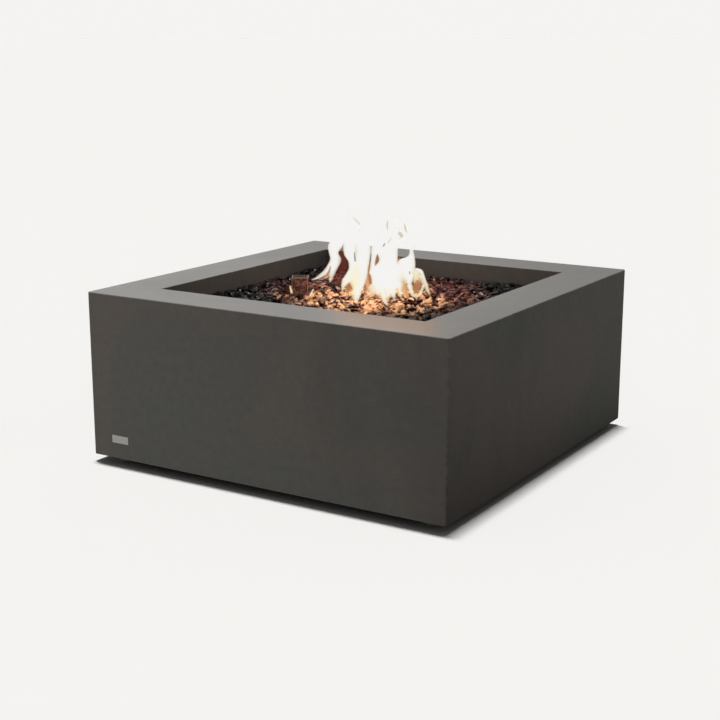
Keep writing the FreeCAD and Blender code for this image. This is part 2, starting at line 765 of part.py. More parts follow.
def valve_body():
    """A cast block, bored for the plug and stem, with the inlet below and the outlet at the back."""
    low = (KNOB_X - BODY_LEFT, BODY_BACK, VALVE_BOTTOM)
    body = block(low, (KNOB_X + BODY_RIGHT, BODY_FRONT, NICHE_Z + BODY_HALF_HEIGHT))
    body = body.makeFillet(BODY_EDGE, edges_where(body, lambda middle, along: abs(along.y) > 1))
    body = body.fuse(rod(NECK_RADIUS, *along_valve(BODY_FRONT - 1, NECK_END)))
    thread = THREAD_RADIUS + FIT
    inlet_top = VALVE_BOTTOM + THREAD_LENGTH
    outlet_end = BODY_BACK + THREAD_LENGTH
    passages = [
        rod(PLUG_RADIUS, *along_valve(BODY_BACK - 1, PLUG_END)),
        rod(STEM_COLLAR + 0.2, *along_valve(PLUG_END - 1, COLLAR_END + PLAY)),
        rod(STEM_RADIUS + PLAY, *along_valve(COLLAR_END, NECK_END + 1)),
        upright(thread, KNOB_X, PORT_Y, VALVE_BOTTOM - 1, inlet_top),
        upright(FLARE_BORE, KNOB_X, PORT_Y, VALVE_BOTTOM, NICHE_Z),
        rod(thread, (OUTLET_X, BODY_BACK - 1, NICHE_Z), (OUTLET_X, outlet_end, NICHE_Z)),
        rod(FLARE_BORE, (OUTLET_X, BODY_BACK, NICHE_Z), (OUTLET_X, PORT_Y + FLARE_BORE, NICHE_Z)),
        rod(FLARE_BORE, (KNOB_X, PORT_Y, NICHE_Z), (OUTLET_X, PORT_Y, NICHE_Z)),
    ]
    return body.cut(passages)


def valve_plug():
    """The turning plug, with a port across it and a flatted socket for the stem."""
    plug = rod(PLUG_RADIUS - FIT, *along_valve(PLUG_START, PLUG_END - 0.2))
    plug = plug.cut(flatted_bar(STEM_RADIUS + FIT, STEM_FLAT + FIT, PLUG_START + 2, PLUG_END + 1))
    return plug.cut(upright(3.0, KNOB_X, PORT_Y, NICHE_Z - 10, NICHE_Z))


def valve_stem():
    stem = flatted_bar(STEM_RADIUS, STEM_FLAT, STEM_START, STEM_END)
    return joined([stem, rod(STEM_COLLAR, *along_valve(COLLAR_START, COLLAR_END))])


def stem_spring():
    """The return spring as a plain sleeve, between the plug and the stem's collar."""
    return pipe(SPRING_RADIUS, SPRING_BORE, *along_valve(PLUG_END + 0.1, COLLAR_START - 0.2))


def magnet_unit():
    """The flame-failure magnet, screwed into the body's back."""
    hexagon_back = BODY_BACK - MAGNET_HEXAGON_LENGTH
    thread = rod(PLUG_RADIUS - FIT, *along_valve(BODY_BACK - 1, PLUG_START - 1))
    grip = hexagon(MAGNET_HEXAGON, *along_valve(hexagon_back, BODY_BACK))
    return joined([thread, grip, rod(MAGNET_RADIUS, *along_valve(MAGNET_END, hexagon_back + 1))])


def valve_nut():
    return nut(NOSE_NUT, NECK_RADIUS + FIT, *along_valve(PANEL_Y, PANEL_Y + NOSE_NUT_HEIGHT))


def dial_plate():
    return pipe(DIAL_RADIUS, DIAL_BORE, *along_valve(PANEL_Y, PANEL_Y + DIAL_THICKNESS))


def control_knob():
    """A tapered knob with finger flutes, hollow at the back to pass over the nut."""
    back, front = along_valve(KNOB_BACK, KNOB_FRONT)
    length = KNOB_FRONT - KNOB_BACK
    knob = Part.makeCone(KNOB_RADIUS, KNOB_RADIUS - KNOB_TAPER, length, Vector(*back), Y_AXIS)
    knob = rounded_front(knob, KNOB_FRONT, KNOB_EDGE)
    for k in range(FLUTES):
        angle = 2 * math.pi * (k + 0.5) / FLUTES
        x = KNOB_X + FLUTE_REACH * math.cos(angle)
        z = NICHE_Z + FLUTE_REACH * math.sin(angle)
        knob = knob.cut(rod(FLUTE_RADIUS, (x, FLUTE_START, z), (x, KNOB_FRONT + 1, z)))
    knob = knob.cut(rod(KNOB_HOLLOW, *along_valve(KNOB_BACK - 1, KNOB_HOLLOW_END)))
    socket = (KNOB_HOLLOW_END - 1, STEM_END + PLAY)
    return knob.cut(flatted_bar(STEM_RADIUS + KNOB_GRIP, STEM_FLAT + KNOB_GRIP, *socket))


# Igniter


def along_igniter(start, end):
    """Two points on the igniter's axis."""
    return (IGNITER_X, start, NICHE_Z), (IGNITER_X, end, NICHE_Z)


def igniter_housing():
    """A barrel closed at the back, with a flange and a threaded nose for the cap at the front."""
    barrel = rod(BARREL_RADIUS, *along_igniter(BARREL_START, PANEL_Y + 1))
    flange = rod(HOUSING_FLANGE, *along_igniter(PANEL_Y, HOUSING_FLANGE_END))
    nose = rod(NOSE_RADIUS, *along_igniter(PANEL_Y, CAP_FRONT - CAP_LIP - PLAY))
    terminal = rod(TERMINAL_RADIUS, *along_igniter(TERMINAL_START, BARREL_START + 1))
    housing = joined([barrel, flange, nose, terminal])
    return housing.cut(rod(BARREL_BORE, *along_igniter(CELL_START, CAP_FRONT)))


def igniter_cap():
    """The screw cap, whose front lip keeps the button in."""
    cap = rounded_front(rod(CAP_RADIUS, *along_igniter(CAP_START, CAP_FRONT)), CAP_FRONT, CAP_EDGE)
    cap = cap.cut(rod(NOSE_RADIUS + FIT, *along_igniter(CAP_START - 1, CAP_FRONT - CAP_LIP)))
    return cap.cut(rod(BUTTON_RADIUS + PLAY, *along_igniter(CAP_START, CAP_FRONT + 1)))


def igniter_nut():
    return nut(IGNITER_NUT, BARREL_RADIUS + FIT, *along_igniter(PANEL_BACK - IGNITER_NUT_HEIGHT, PANEL_BACK))


def igniter_cell():
    """The AA cell, with its raised tip towards the button."""
    can_end = CELL_START + CELL_LENGTH
    can = rod(CELL_RADIUS, *along_igniter(CELL_START + 1, can_end))
    return joined([can, rod(CELL_TIP_RADIUS, *along_igniter(can_end - 1, can_end + 1))])


def igniter_spring():
    """The contact spring as a plain sleeve, between the cell and the button."""
    return pipe(BUTTON_SPRING, BUTTON_SPRING_BORE, *along_igniter(BUTTON_SPRING_START, BUTTON_BACK - 0.2))


def igniter_button():
    """A red button with a collar that stays behind the cap's lip."""
    collar = rod(COLLAR_RADIUS, *along_igniter(BUTTON_BACK, CAP_FRONT - CAP_LIP - 0.2))
    face = rod(BUTTON_RADIUS, *along_igniter(BUTTON_BACK + 1, BUTTON_FRONT))
    return joined([collar, rounded_front(face, BUTTON_FRONT, BUTTON_EDGE)])


# Electrode, thermocouple and guard


def pilot_bracket():
    """A small table of sheet inside the guard that holds both probes."""
    long, wide = BRACKET_HALF_LENGTH, BRACKET_HALF_WIDTH
    under = BRACKET_TOP - SHEET
    shape = block((-long, -wide, under), (long, wide, BRACKET_TOP))
    for side in (-long, long - SHEET):
        shape = shape.fuse(block((side, -wide, TRAY_FLOOR), (side + SHEET, wide, BRACKET_TOP)))
    shape = shape.removeSplitter()
    holes = [
        upright(CERAMIC_RADIUS + FIT, SENSOR_SPREAD, 0, under - 1, BRACKET_TOP + 1),
        upright(PROBE_RADIUS + FIT, -SENSOR_SPREAD, 0, under - 1, BRACKET_TOP + 1),
    ]
    return in_guard_frame(shape.cut(holes))


def spark_insulator():
    x, y = sensor_place(1)
    body = upright(CERAMIC_RADIUS, x, y, CERAMIC_START, CERAMIC_END)
    collar = upright(CERAMIC_COLLAR, x, y, BRACKET_TOP, BRACKET_TOP + 4)
    return joined([body, collar]).cut(upright(CERAMIC_BORE, x, y, CERAMIC_START - 1, CERAMIC_END + 1))


def spark_rod():
    """The wire that the spark jumps from, bent over towards the thermocouple."""
    x, y = sensor_place(1)
    near_x, near_y = sensor_place(0.2)
    bend_z = CERAMIC_END + SPARK_WIRE_RISE
    tip_z = bend_z + SPARK_WIRE_TIP_RISE
    points = [(x, y, SPARK_WIRE_START), (x, y, bend_z), (near_x, near_y, tip_z)]
    return bent_tube("spark_rod", SPARK_WIRE, points, [SPARK_WIRE_BEND])


def thermocouple():
    x, y = sensor_place(-1)
    body = upright(PROBE_RADIUS, x, y, PROBE_START, PROBE_SHOULDER)
    collar = upright(PROBE_COLLAR, x, y, BRACKET_TOP, BRACKET_TOP + 3)
    return joined([body, collar, upright(PROBE_TIP, x, y, PROBE_SHOULDER - 1, PROBE_END)])


def spark_lead():
    """The insulated wire from the igniter, under the tray, up to the electrode."""
    x, y = sensor_place(1)
    low_turn, high_turn = SPARK_LEAD_TURNS
    points = [
        (x, y, SPARK_WIRE_START),
        (x, y, LEAD_Z),
        (x, low_turn, LEAD_Z),
        (IGNITER_X, high_turn, NICHE_Z),
        (IGNITER_X, TERMINAL_START, NICHE_Z),
    ]
    return bent_tube("spark_lead", SPARK_LEAD_RADIUS, points, SPARK_LEAD_BENDS)


def thermocouple_lead():
    """The thin copper lead from the thermocouple to the valve's magnet."""
    x, y = sensor_place(-1)
    low_turn, high_turn = SENSOR_LEAD_TURNS
    points = [
        (x, y, PROBE_START),
        (x, y, LEAD_Z),
        (x, low_turn, LEAD_Z),
        (KNOB_X, high_turn, NICHE_Z),
        (KNOB_X, MAGNET_END, NICHE_Z),
    ]
    return bent_tube("thermocouple_lead", SENSOR_LEAD_RADIUS, points, SENSOR_LEAD_BENDS)


def lead_hangers():
    """Two hanging plates under the tray, each with a hole for either lead."""
    spark_x = sensor_place(1)[0]
    sensor_x = sensor_place(-1)[0]
    bottom = LEAD_Z - 8
    hangers = []
    for y in HANGER_PLACES:
        low = (sensor_x - HANGER_MARGIN, y, bottom)
        plate = block(low, (spark_x + HANGER_MARGIN, y + SHEET, TRAY_UNDERSIDE))
        for x, radius in ((spark_x, SPARK_LEAD_RADIUS), (sensor_x, SENSOR_LEAD_RADIUS)):
            plate = plate.cut(rod(radius + PLAY, (x, y - 1, LEAD_Z), (x, y + SHEET + 1, LEAD_Z)))
        hangers.append(plate)
    return Part.makeCompound(hangers)


def pilot_guard():
    """A perforated box over both probes, open below, with a tab on either side."""
    half = GUARD_HALF
    inner = half - GUARD_SHEET
    outside = block((-half, -half, TRAY_FLOOR), (half, half, GUARD_TOP))
    inside = block((-inner, -inner, TRAY_FLOOR - 1), (inner, inner, GUARD_TOP - GUARD_SHEET))
    tab_low = (-half - TAB_LENGTH, -TAB_HALF_WIDTH, TRAY_FLOOR)
    tabs = block(tab_low, (half + TAB_LENGTH, TAB_HALF_WIDTH, TRAY_FLOOR + GUARD_SHEET))
    guard = outside.fuse(tabs).cut(inside).removeSplitter()
    across = [GUARD_HOLE_STEP * k for k in (-2, -1, 0, 1, 2)]
    levels = [GUARD_TOP - GUARD_HOLE_STEP * (k + 1) - 1 for k in range(GUARD_HOLE_ROWS)]
    holes = [upright(GUARD_HOLE, a, b, GUARD_TOP - 3, GUARD_TOP + 1) for a in across for b in across]
    for a, z in itertools.product(across, levels):
        holes.append(rod(GUARD_HOLE, (a, -half - 1, z), (a, half + 1, z)))
        holes.append(rod(GUARD_HOLE, (-half - 1, a, z), (half + 1, a, z)))
    screw_holes = [through_tray(GUARD_SCREW + PLAY, x, y) for x, y in guard_tab_places()]
    holes += [hole.translated(Z_AXIS) for hole in screw_holes]
    return in_guard_frame(guard.cut(holes))


def guard_screws():
    """Two screws down through the tabs and the tray."""
    screws = []
    for x, y in guard_tab_places():
        head = upright(GUARD_SCREW_HEAD, x, y, TRAY_FLOOR + GUARD_SHEET, TRAY_FLOOR + 4)
        shank = upright(GUARD_SCREW, x, y, TRAY_UNDERSIDE - 7, TRAY_FLOOR + 2)
        screws.append(in_guard_frame(joined([head, shank])))
    return Part.makeCompound(screws)


def guard_nuts():
    nuts = []
    bottom = TRAY_UNDERSIDE - GUARD_NUT_HEIGHT
    for x, y in guard_tab_places():
        shape = nut(GUARD_NUT, GUARD_SCREW + FIT, (x, y, bottom), (x, y, TRAY_UNDERSIDE))
        nuts.append(in_guard_frame(shape))
    return Part.makeCompound(nuts)


# Fire glass


def glass_bed():
    """The glass under the top chips, as one slab that leaves room for all it buries."""
    bed = square(TRAY_HALF - SHEET, TRAY_FLOOR, FLANGE_TOP)
    bed = bed.fuse(square(RECESS_HALF, FLANGE_TOP, GLASS_TOP)).removeSplitter()
    bed = bed.cut(burner_tubes(-GLASS_ROOM))
    hub_room = BURNER_Z + RING_TUBE + GLASS_ROOM
    bed = bed.cut(upright(HUB_RADIUS + GLASS_ROOM, 0, 0, TRAY_FLOOR - 1, hub_room))
    for x, y in saddle_places():
        bed = bed.cut(saddle_block(x, y, GLASS_ROOM))
    reach = GUARD_HALF + GLASS_ROOM
    bed = bed.cut(in_guard_frame(block((-reach, -reach, TRAY_FLOOR - 1), (reach, reach, GLASS_TOP + 1))))
    long = GUARD_HALF + TAB_LENGTH + 2
    wide = TAB_HALF_WIDTH + 1
    return bed.cut(in_guard_frame(block((-long, -wide, TRAY_FLOOR - 1), (long, wide, TRAY_FLOOR + 6))))


def hull(points):
    """The convex solid round some points, no four of which lie in one plane."""
    middle = sum(points, Vector()) * (1 / len(points))
    faces = []
    for a, b, c in itertools.combinations(points, 3):
        normal = (b - a).cross(c - a)
        heights = [normal.dot(p - a) for p in points if p not in (a, b, c)]
        if min(heights) < 0 < max(heights):
            continue
        outward = normal.dot(a - middle) > 0
        corners = [a, b, c, a] if outward else [a, c, b, a]
        faces.append(Part.Face(Part.makePolygon(corners)))
    return Part.Solid(Part.makeShell(faces))


def chip(chance, x, y, reach):
    """One broken piece of glass within a reach, standing on a three-cornered foot."""
    start = chance.uniform(0, 120)
    top = min(1.1 * reach, CHIP_HIGHEST - GLASS_TOP)
    points = []
    for k in range(3):
        angle = math.radians(start + 120 * k + chance.uniform(-25, 25))
        out = reach * chance.uniform(0.55, 0.8)
        points.append(Vector(x + out * math.cos(angle), y + out * math.sin(angle), GLASS_TOP))
    for k in range(5):
        angle = math.radians(start + 72 * k + chance.uniform(-20, 20))
        out = reach * chance.uniform(0.45, 1.0)
        height = top * chance.uniform(0.35, 1.0)
        points.append(Vector(x + out * math.cos(angle), y + out * math.sin(angle), GLASS_TOP + height))
    return hull(points)


def chip_places(chance):
    """Where chips lie and how far each may reach, large ones first and small ones between them."""
    placed = []
    for k in range(CHIP_TRIES):
        reach = CHIP_LARGEST + (CHIP_SMALLEST - CHIP_LARGEST) * (k / CHIP_TRIES) ** 0.6
        side = RECESS_HALF - GLASS_ROOM - reach
        x = chance.uniform(-side, side)
        y = chance.uniform(-side, side)
        clear = math.hypot(x - GUARD_X, y - GUARD_Y) > 1.5 * GUARD_HALF + reach
        if clear and all(math.hypot(x - a, y - b) > reach + other + CHIP_GAP for a, b, other in placed):
            placed.append((x, y, reach))
    return placed


def glass_chips():
    """The loose top layer of broken glass."""
    chance = random.Random(CHIP_SEED)
    return Part.makeCompound([chip(chance, *place) for place in chip_places(chance)])


SUBPARTS = [
    table_shell,
    badge_plate,
    foot_inserts,
    tray_gasket,
    burner_tray,
    burner_ring,
    burner_saddles,
    saddle_screws,
    hub_nipple,
    nipple_locknuts,
    feed_elbow,
    air_mixer,
    gas_jet,
    gas_line,
    gas_line_nuts,
    valve_outlet,
    gas_inlet,
    control_box,
    box_screws,
    box_inserts,
    valve_body,
    valve_plug,
    valve_stem,
    stem_spring,
    magnet_unit,
    valve_nut,
    dial_plate,
    control_knob,
    igniter_housing,
    igniter_cap,
    igniter_nut,
    igniter_cell,
    igniter_spring,
    igniter_button,
    pilot_bracket,
    spark_insulator,
    spark_rod,
    thermocouple,
    spark_lead,
    thermocouple_lead,
    lead_hangers,
    pilot_guard,
    guard_screws,
    guard_nuts,
    glass_bed,
    glass_chips,
]


def main():
    os.makedirs("parts", exist_ok=True)
    shapes = {make.__name__: make() for make in SUBPARTS}
    for place, (x, y) in zip(FOOT_PLACES, foot_centres()):
        shapes[f"{place}_foot_pad"] = foot_pad(x, y)
        shapes[f"{place}_foot_stud"] = foot_stud(x, y)
    for name, shape in shapes.items():
        box = shape.BoundBox
        size = f"{box.XLength:.1f} x {box.YLength:.1f} x {box.ZLength:.1f}"
        print(f"{name}: {len(shape.Solids)} solid(s), valid {shape.isValid()}, {size} mm")
        shape.exportStep(f"parts/{name}.step")


main()
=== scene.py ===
import json
import math
import random

import bmesh
import bpy
import numpy as np
from mathutils import Euler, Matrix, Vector

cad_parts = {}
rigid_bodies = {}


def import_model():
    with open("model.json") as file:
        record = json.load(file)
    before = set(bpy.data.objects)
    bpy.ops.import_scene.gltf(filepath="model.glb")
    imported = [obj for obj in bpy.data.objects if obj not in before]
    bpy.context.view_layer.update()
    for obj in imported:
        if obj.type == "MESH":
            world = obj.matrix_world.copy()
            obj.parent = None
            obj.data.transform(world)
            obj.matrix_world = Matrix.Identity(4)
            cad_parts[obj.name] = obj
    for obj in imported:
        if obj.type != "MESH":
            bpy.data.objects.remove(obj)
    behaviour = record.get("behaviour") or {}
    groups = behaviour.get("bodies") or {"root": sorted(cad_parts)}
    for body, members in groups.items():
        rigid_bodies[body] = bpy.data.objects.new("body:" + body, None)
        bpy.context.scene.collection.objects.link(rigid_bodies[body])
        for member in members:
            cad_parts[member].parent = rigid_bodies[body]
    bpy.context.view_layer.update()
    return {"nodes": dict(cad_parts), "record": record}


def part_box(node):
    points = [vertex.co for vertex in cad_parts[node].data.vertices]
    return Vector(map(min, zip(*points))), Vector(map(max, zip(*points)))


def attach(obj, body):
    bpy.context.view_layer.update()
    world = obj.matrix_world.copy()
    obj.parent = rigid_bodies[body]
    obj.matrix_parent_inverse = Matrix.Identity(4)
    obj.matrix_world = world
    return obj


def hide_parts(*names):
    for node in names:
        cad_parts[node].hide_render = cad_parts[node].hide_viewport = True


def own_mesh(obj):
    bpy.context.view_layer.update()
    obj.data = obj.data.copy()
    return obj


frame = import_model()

# Lengths are metres, in the CAD frame: the floor at z = 0, the front with the small plate
# facing -Y and the controls facing +Y.

# The photograph's camera: where it stands, its turn from straight ahead, its rise over the object
CAMERA_PLACE = Vector((1.781, -2.921, 1.042))
CAMERA_TURN = math.radians(31.74)
CAMERA_RISE = math.radians(13.483)
CAMERA_LENS = 67.81
SENSOR = 36.0

# Studio. The pale colour is the photograph's background. The floor has darker ones for the light that it
# throws on the object, the darkest a painted shadow: a strip that starts just under the object's right side,
# fades out between two distances from it, and slants with depth.
PALE = (244, 243, 241)
FLOOR_SEEN_BY_OBJECT = (205, 204, 202)
FLOOR_PAINTED_SHADOW = (84, 84, 83)
FLOOR_RINGS = (0.4, 0.8, 1.6, 3.2, 8.0, 20.0, 80.0, 400.0)
FLOOR_SIDES = 48
STRIP_IN = 0.05
STRIP_OUT = (0.10, 0.34)
STRIP_SLANT = 0.15

# The row of suns: their strength together, how far each leans to the left and all lean to the back, and
# how much of them shows as shine
KEY_STRENGTH = 2.805
KEY_LEANS = (0.0, -0.022, -0.044, -0.066, -0.088)
KEY_FROM_BACK = 0.034
KEY_SPREAD = math.radians(2.5)
KEY_SHINE = 0.4

# The two soft panels on the object alone
FRONT_PLACE = Vector((-2.0, -3.5, 0.60))
FRONT_WATTS = 76.0
RIGHT_PLACE = Vector((2.9, 0.9, 0.9))
RIGHT_WATTS = 15.0
PANEL_SIZE = 1.6
PANEL_AIM = Vector((0, 0, 0.2))
PANEL_SHINE = 0.5

# The surround: its strength on plain surfaces, and in shiny ones towards the right, where it fades between
# two places across the view
FILL = 0.12
DIM_SIDE = 0.32
DIM_FROM, DIM_TO = -0.25, 0.20


def middle_of(node):
    low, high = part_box(node)
    return (Vector(low) + Vector(high)) / 2


# Places taken from the CAD nodes
HALF, _, RIM_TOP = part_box("table_shell")[1]
RECESS_HALF, _, BED_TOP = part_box("glass_bed")[1]
CHIP_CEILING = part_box("glass_chips")[1][2]
KNOB_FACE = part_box("control_knob")[1][1]
DIAL_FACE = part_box("dial_plate")[1][1]
DIAL_MIDDLE = middle_of("dial_plate")
GUARD_MIDDLE = middle_of("pilot_guard")
GUARD_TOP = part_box("pilot_guard")[1][2]
GUARD_SIDE = 0.042
GUARD_TURN = math.radians(31.4)

# The camera's own directions: towards it from the object, to its right, and level away from it
BACK = Vector((
    math.sin(CAMERA_TURN) * math.cos(CAMERA_RISE),
    -math.cos(CAMERA_TURN) * math.cos(CAMERA_RISE),
    math.sin(CAMERA_RISE),
))
RIGHT = Vector((math.cos(CAMERA_TURN), math.sin(CAMERA_TURN), 0))
AWAY = Vector((-math.sin(CAMERA_TURN), math.cos(CAMERA_TURN), 0))


def linear(level):
    """One channel of a screen colour, 0 to 255, as light."""
    share = level / 255
    return share / 12.92 if share <= 0.04045 else ((share + 0.055) / 1.055) ** 2.4


def paint(red, green, blue):
    """A screen colour as the four numbers that a colour socket takes."""
    return (linear(red), linear(green), linear(blue), 1.0)


# Shader maths


class Value:
    """A node's output. Python's operators on it add Math nodes."""

    def __init__(self, finish, socket):
        self.finish = finish
        self.socket = socket

    def __add__(self, other):
        return self.finish.maths("ADD", self, other)

    def __radd__(self, other):
        return self.finish.maths("ADD", other, self)

    def __sub__(self, other):
        return self.finish.maths("SUBTRACT", self, other)

    def __rsub__(self, other):
        return self.finish.maths("SUBTRACT", other, self)

    def __mul__(self, other):
        return self.finish.maths("MULTIPLY", self, other)

    def __rmul__(self, other):
        return self.finish.maths("MULTIPLY", other, self)

    def __pow__(self, other):
        return self.finish.maths("POWER", self, other)

    def __gt__(self, other):
        return self.finish.maths("GREATER_THAN", self, other)

    def __abs__(self):
        return self.finish.maths("ABSOLUTE", self)


class Finish:
    """A material or a world under construction, with a short call for each kind of node it uses."""

    def __init__(self, name, among=bpy.data.materials):
        self.owner = among.new(name)
        self.owner.use_nodes = True
        self.tree = self.owner.node_tree
        self.tree.nodes.clear()

    def node(self, kind, settings=None, sockets=None, output=0):
        """Adds a node: its settings first, then the values or links of its sockets."""
        made = self.tree.nodes.new("ShaderNode" + kind)
        for name, value in (settings or {}).items():
            setattr(made, name, value)
        for key, value in (sockets or {}).items():
            if isinstance(value, Value):
                self.tree.links.new(value.socket, made.inputs[key])
            else:
                made.inputs[key].default_value = value
        return None if output is None else Value(self, made.outputs[output])

    def maths(self, operation, *values):
        return self.node("Math", {"operation": operation}, dict(enumerate(values)))

    def highest(self, first, second):
        return self.maths("MAXIMUM", first, second)

    def lowest(self, first, second):
        return self.maths("MINIMUM", first, second)

    def place(self):
        """Where the surface is, in the object's own frame, in metres."""
        return self.node("TexCoord", output="Object")

    def axes(self):
        """The same place as three numbers."""
        split = self.node("SeparateXYZ", sockets={0: self.place()})
        return [Value(self, socket) for socket in split.socket.node.outputs]

    def stretched(self, x, y, z):
        """The place scaled along each axis, for marks that run one way."""
        return self.node("VectorMath", {"operation": "MULTIPLY"}, {0: self.place(), 1: (x, y, z)})

    def noise(self, scale, detail, rough, place=None, twist=0.0):
        sockets = {"Vector": place or self.place(), "Scale": scale, "Detail": detail}
        sockets.update({"Roughness": rough, "Distortion": twist})
        return self.node("TexNoise", sockets=sockets)

    def cells(self, scale):
        """How far the nearest cell's middle is."""
        return self.node("TexVoronoi", sockets={"Vector": self.place(), "Scale": scale})

    def cell_number(self, scale):
        """A number of its own, 0 to 1, for each of the same cells."""
        colour = self.node("TexVoronoi", sockets={"Vector": self.place(), "Scale": scale}, output="Color")
        return self.node("SeparateColor", sockets={0: colour})

    def waves(self, kind, scale, twist, extra=None):
        """Waves of a kind, BANDS or RINGS, that run slantwise or as shells."""
        settings = {"wave_type": kind, "bands_direction": "DIAGONAL", "rings_direction": "SPHERICAL"}
        sockets = {"Vector": self.place(), "Scale": scale, "Distortion": twist, "Detail": 2.0}
        return self.node("TexWave", settings, sockets | (extra or {}), 1)

    def between(self, value, low, high, start=0.0, end=1.0):
        """A value's rise from low to high, turned into one from start to end, with soft ends."""
        sockets = {"Value": value, "From Min": low, "From Max": high, "To Min": start, "To Max": end}
        return self.node("MapRange", {"interpolation_type": "SMOOTHSTEP"}, sockets)

    def blend(self, share, first, second):
        """Two colours mixed."""
        settings = {"data_type": "RGBA", "blend_type": "MIX", "clamp_factor": True}
        return self.node("Mix", settings, {0: share, 6: first, 7: second}, output=2)

    def ray(self, kind):
        """1 for a kind of ray, such as Camera, and 0 for the others."""
        return self.node("LightPath", output=f"Is {kind} Ray")

    def bump(self, height, depth, under=None):
        """A normal from a height whose whole swing is a depth in metres."""
        sockets = {"Height": height, "Distance": depth, "Strength": 1.0}
        if under is not None:
            sockets["Normal"] = under
        return self.node("Bump", sockets=sockets)

    def ends(self, shader, socket="Surface", kind="Material"):
        """Adds the output, and gives back the material or the world."""
        self.node("Output" + kind, sockets={socket: shader}, output=None)
        return self.owner

    def done(self, sockets):
        """Adds the usual surface shader and the output, and gives back the material."""
        return self.ends(self.node("BsdfPrincipled", sockets=sockets))


# Finishes


def concrete():
    """Dark cast concrete: soft clouds of two greys, sand grain, a few pinholes, edges rubbed paler and
    partly a painted highlight, and a polished rim painted paler as a painted sheen. The rim is never
    smoother than
    0.3, where the denoiser would speckle it."""
    f = Finish("dark_cast_concrete")
    x, y, z = f.axes()
    clouds = f.between(f.noise(3.2, 4.0, 0.55, twist=0.8), 0.38, 0.62)
    mottle = f.noise(46.0, 6.0, 0.68)
    streaks = f.noise(5.0, 5.0, 0.6, f.stretched(1.0, 1.0, 0.22))
    sand = f.noise(900.0, 2.0, 0.6)
    colour = f.blend(clouds, paint(73, 74, 70), paint(79, 74, 70))
    colour = f.blend(f.between(mottle, 0.30, 0.72, 0.0, 0.45), colour, paint(89, 85, 81))
    colour = f.blend(f.between(streaks, 0.52, 0.78, 0.0, 0.35), colour, paint(64, 62, 59))
    # The polished rim: smoother and free of pinholes, and painted paler, a painted sheen where the top takes
    # the light.
    burnish_and_painted_sheen = f.between(z, RIM_TOP - 0.0010, RIM_TOP - 0.0004)
    colour = f.blend(burnish_and_painted_sheen * 0.7, colour, paint(129, 127, 124))
    colour = f.blend(f.between(sand, 0.60, 0.80, 0.0, 0.5), colour, paint(104, 100, 95))
    holes = f.between(f.cells(90.0), 0.04, 0.07, 1.0, 0.0) * (f.cell_number(90.0) > 0.86)
    fine = f.between(f.cells(260.0), 0.06, 0.12, 1.0, 0.0) * (f.cell_number(260.0) > 0.88)
    holes = f.highest(holes, fine) * (1.0 - burnish_and_painted_sheen)
    colour = f.blend(holes * 0.75, colour, paint(30, 29, 28))
    # Edges rubbed paler as wear, the paleness partly a painted highlight along the edges.
    outer = f.highest(abs(x), abs(y))
    inner = f.lowest(abs(x), abs(y))
    upper = f.between(outer, HALF - 0.0030, HALF - 0.0004) * f.between(z, RIM_TOP - 0.0032, RIM_TOP - 0.0008)
    upright = f.between(inner, HALF - 0.0060, HALF - 0.0016)
    mouth = f.between(abs(outer - RECESS_HALF), 0.0004, 0.0020, 1.0, 0.0) * (z > RIM_TOP - 0.002)
    edge = f.highest(f.highest(upper, upright), mouth) * f.between(mottle, 0.35, 0.65, 0.25, 1.0)
    colour = f.blend(edge * 0.45, colour, paint(128, 124, 118))
    rough = 0.70 + 0.10 * mottle - 0.05 * clouds + 0.2 * holes - 0.39 * burnish_and_painted_sheen
    cast = 1.0 - 0.9 * burnish_and_painted_sheen
    shape = f.bump(f.noise(11.0, 4.0, 0.5, twist=1.2) * cast, 0.0007)
    shape = f.bump((0.55 * mottle + 0.25 * sand - 1.2 * holes) * cast, 0.00035, shape)
    return f.done({"Base Color": colour, "Roughness": rough, "Normal": shape, "Specular IOR Level": 0.16})


def brushed(name, colour, dark, along, roughness=0.30):
    """Sheet metal brushed along one axis, with faint smudges and a few scratches."""
    f = Finish(name)
    grain_scale = [30.0 if axis == along else 2600.0 for axis in "xyz"]
    grain = f.noise(1.0, 3.0, 0.7, f.stretched(*grain_scale))
    scratch_scale = [4.0 if axis == along else 420.0 for axis in "xyz"]
    scratches = f.between(f.noise(1.0, 2.0, 0.5, f.stretched(*scratch_scale)), 0.66, 0.74)
    smudges = f.noise(22.0, 4.0, 0.6)
    tone = f.blend(f.between(grain, 0.3, 0.7), paint(*dark), paint(*colour))
    tone = f.blend(scratches * 0.35, tone, paint(225, 224, 220))
    rough = roughness + 0.16 * grain + f.between(smudges, 0.45, 0.75, 0.0, 0.14)
    shape = f.bump(grain - 0.8 * scratches, 0.00006)
    return f.done({"Base Color": tone, "Metallic": 1.0, "Roughness": rough, "Normal": shape})


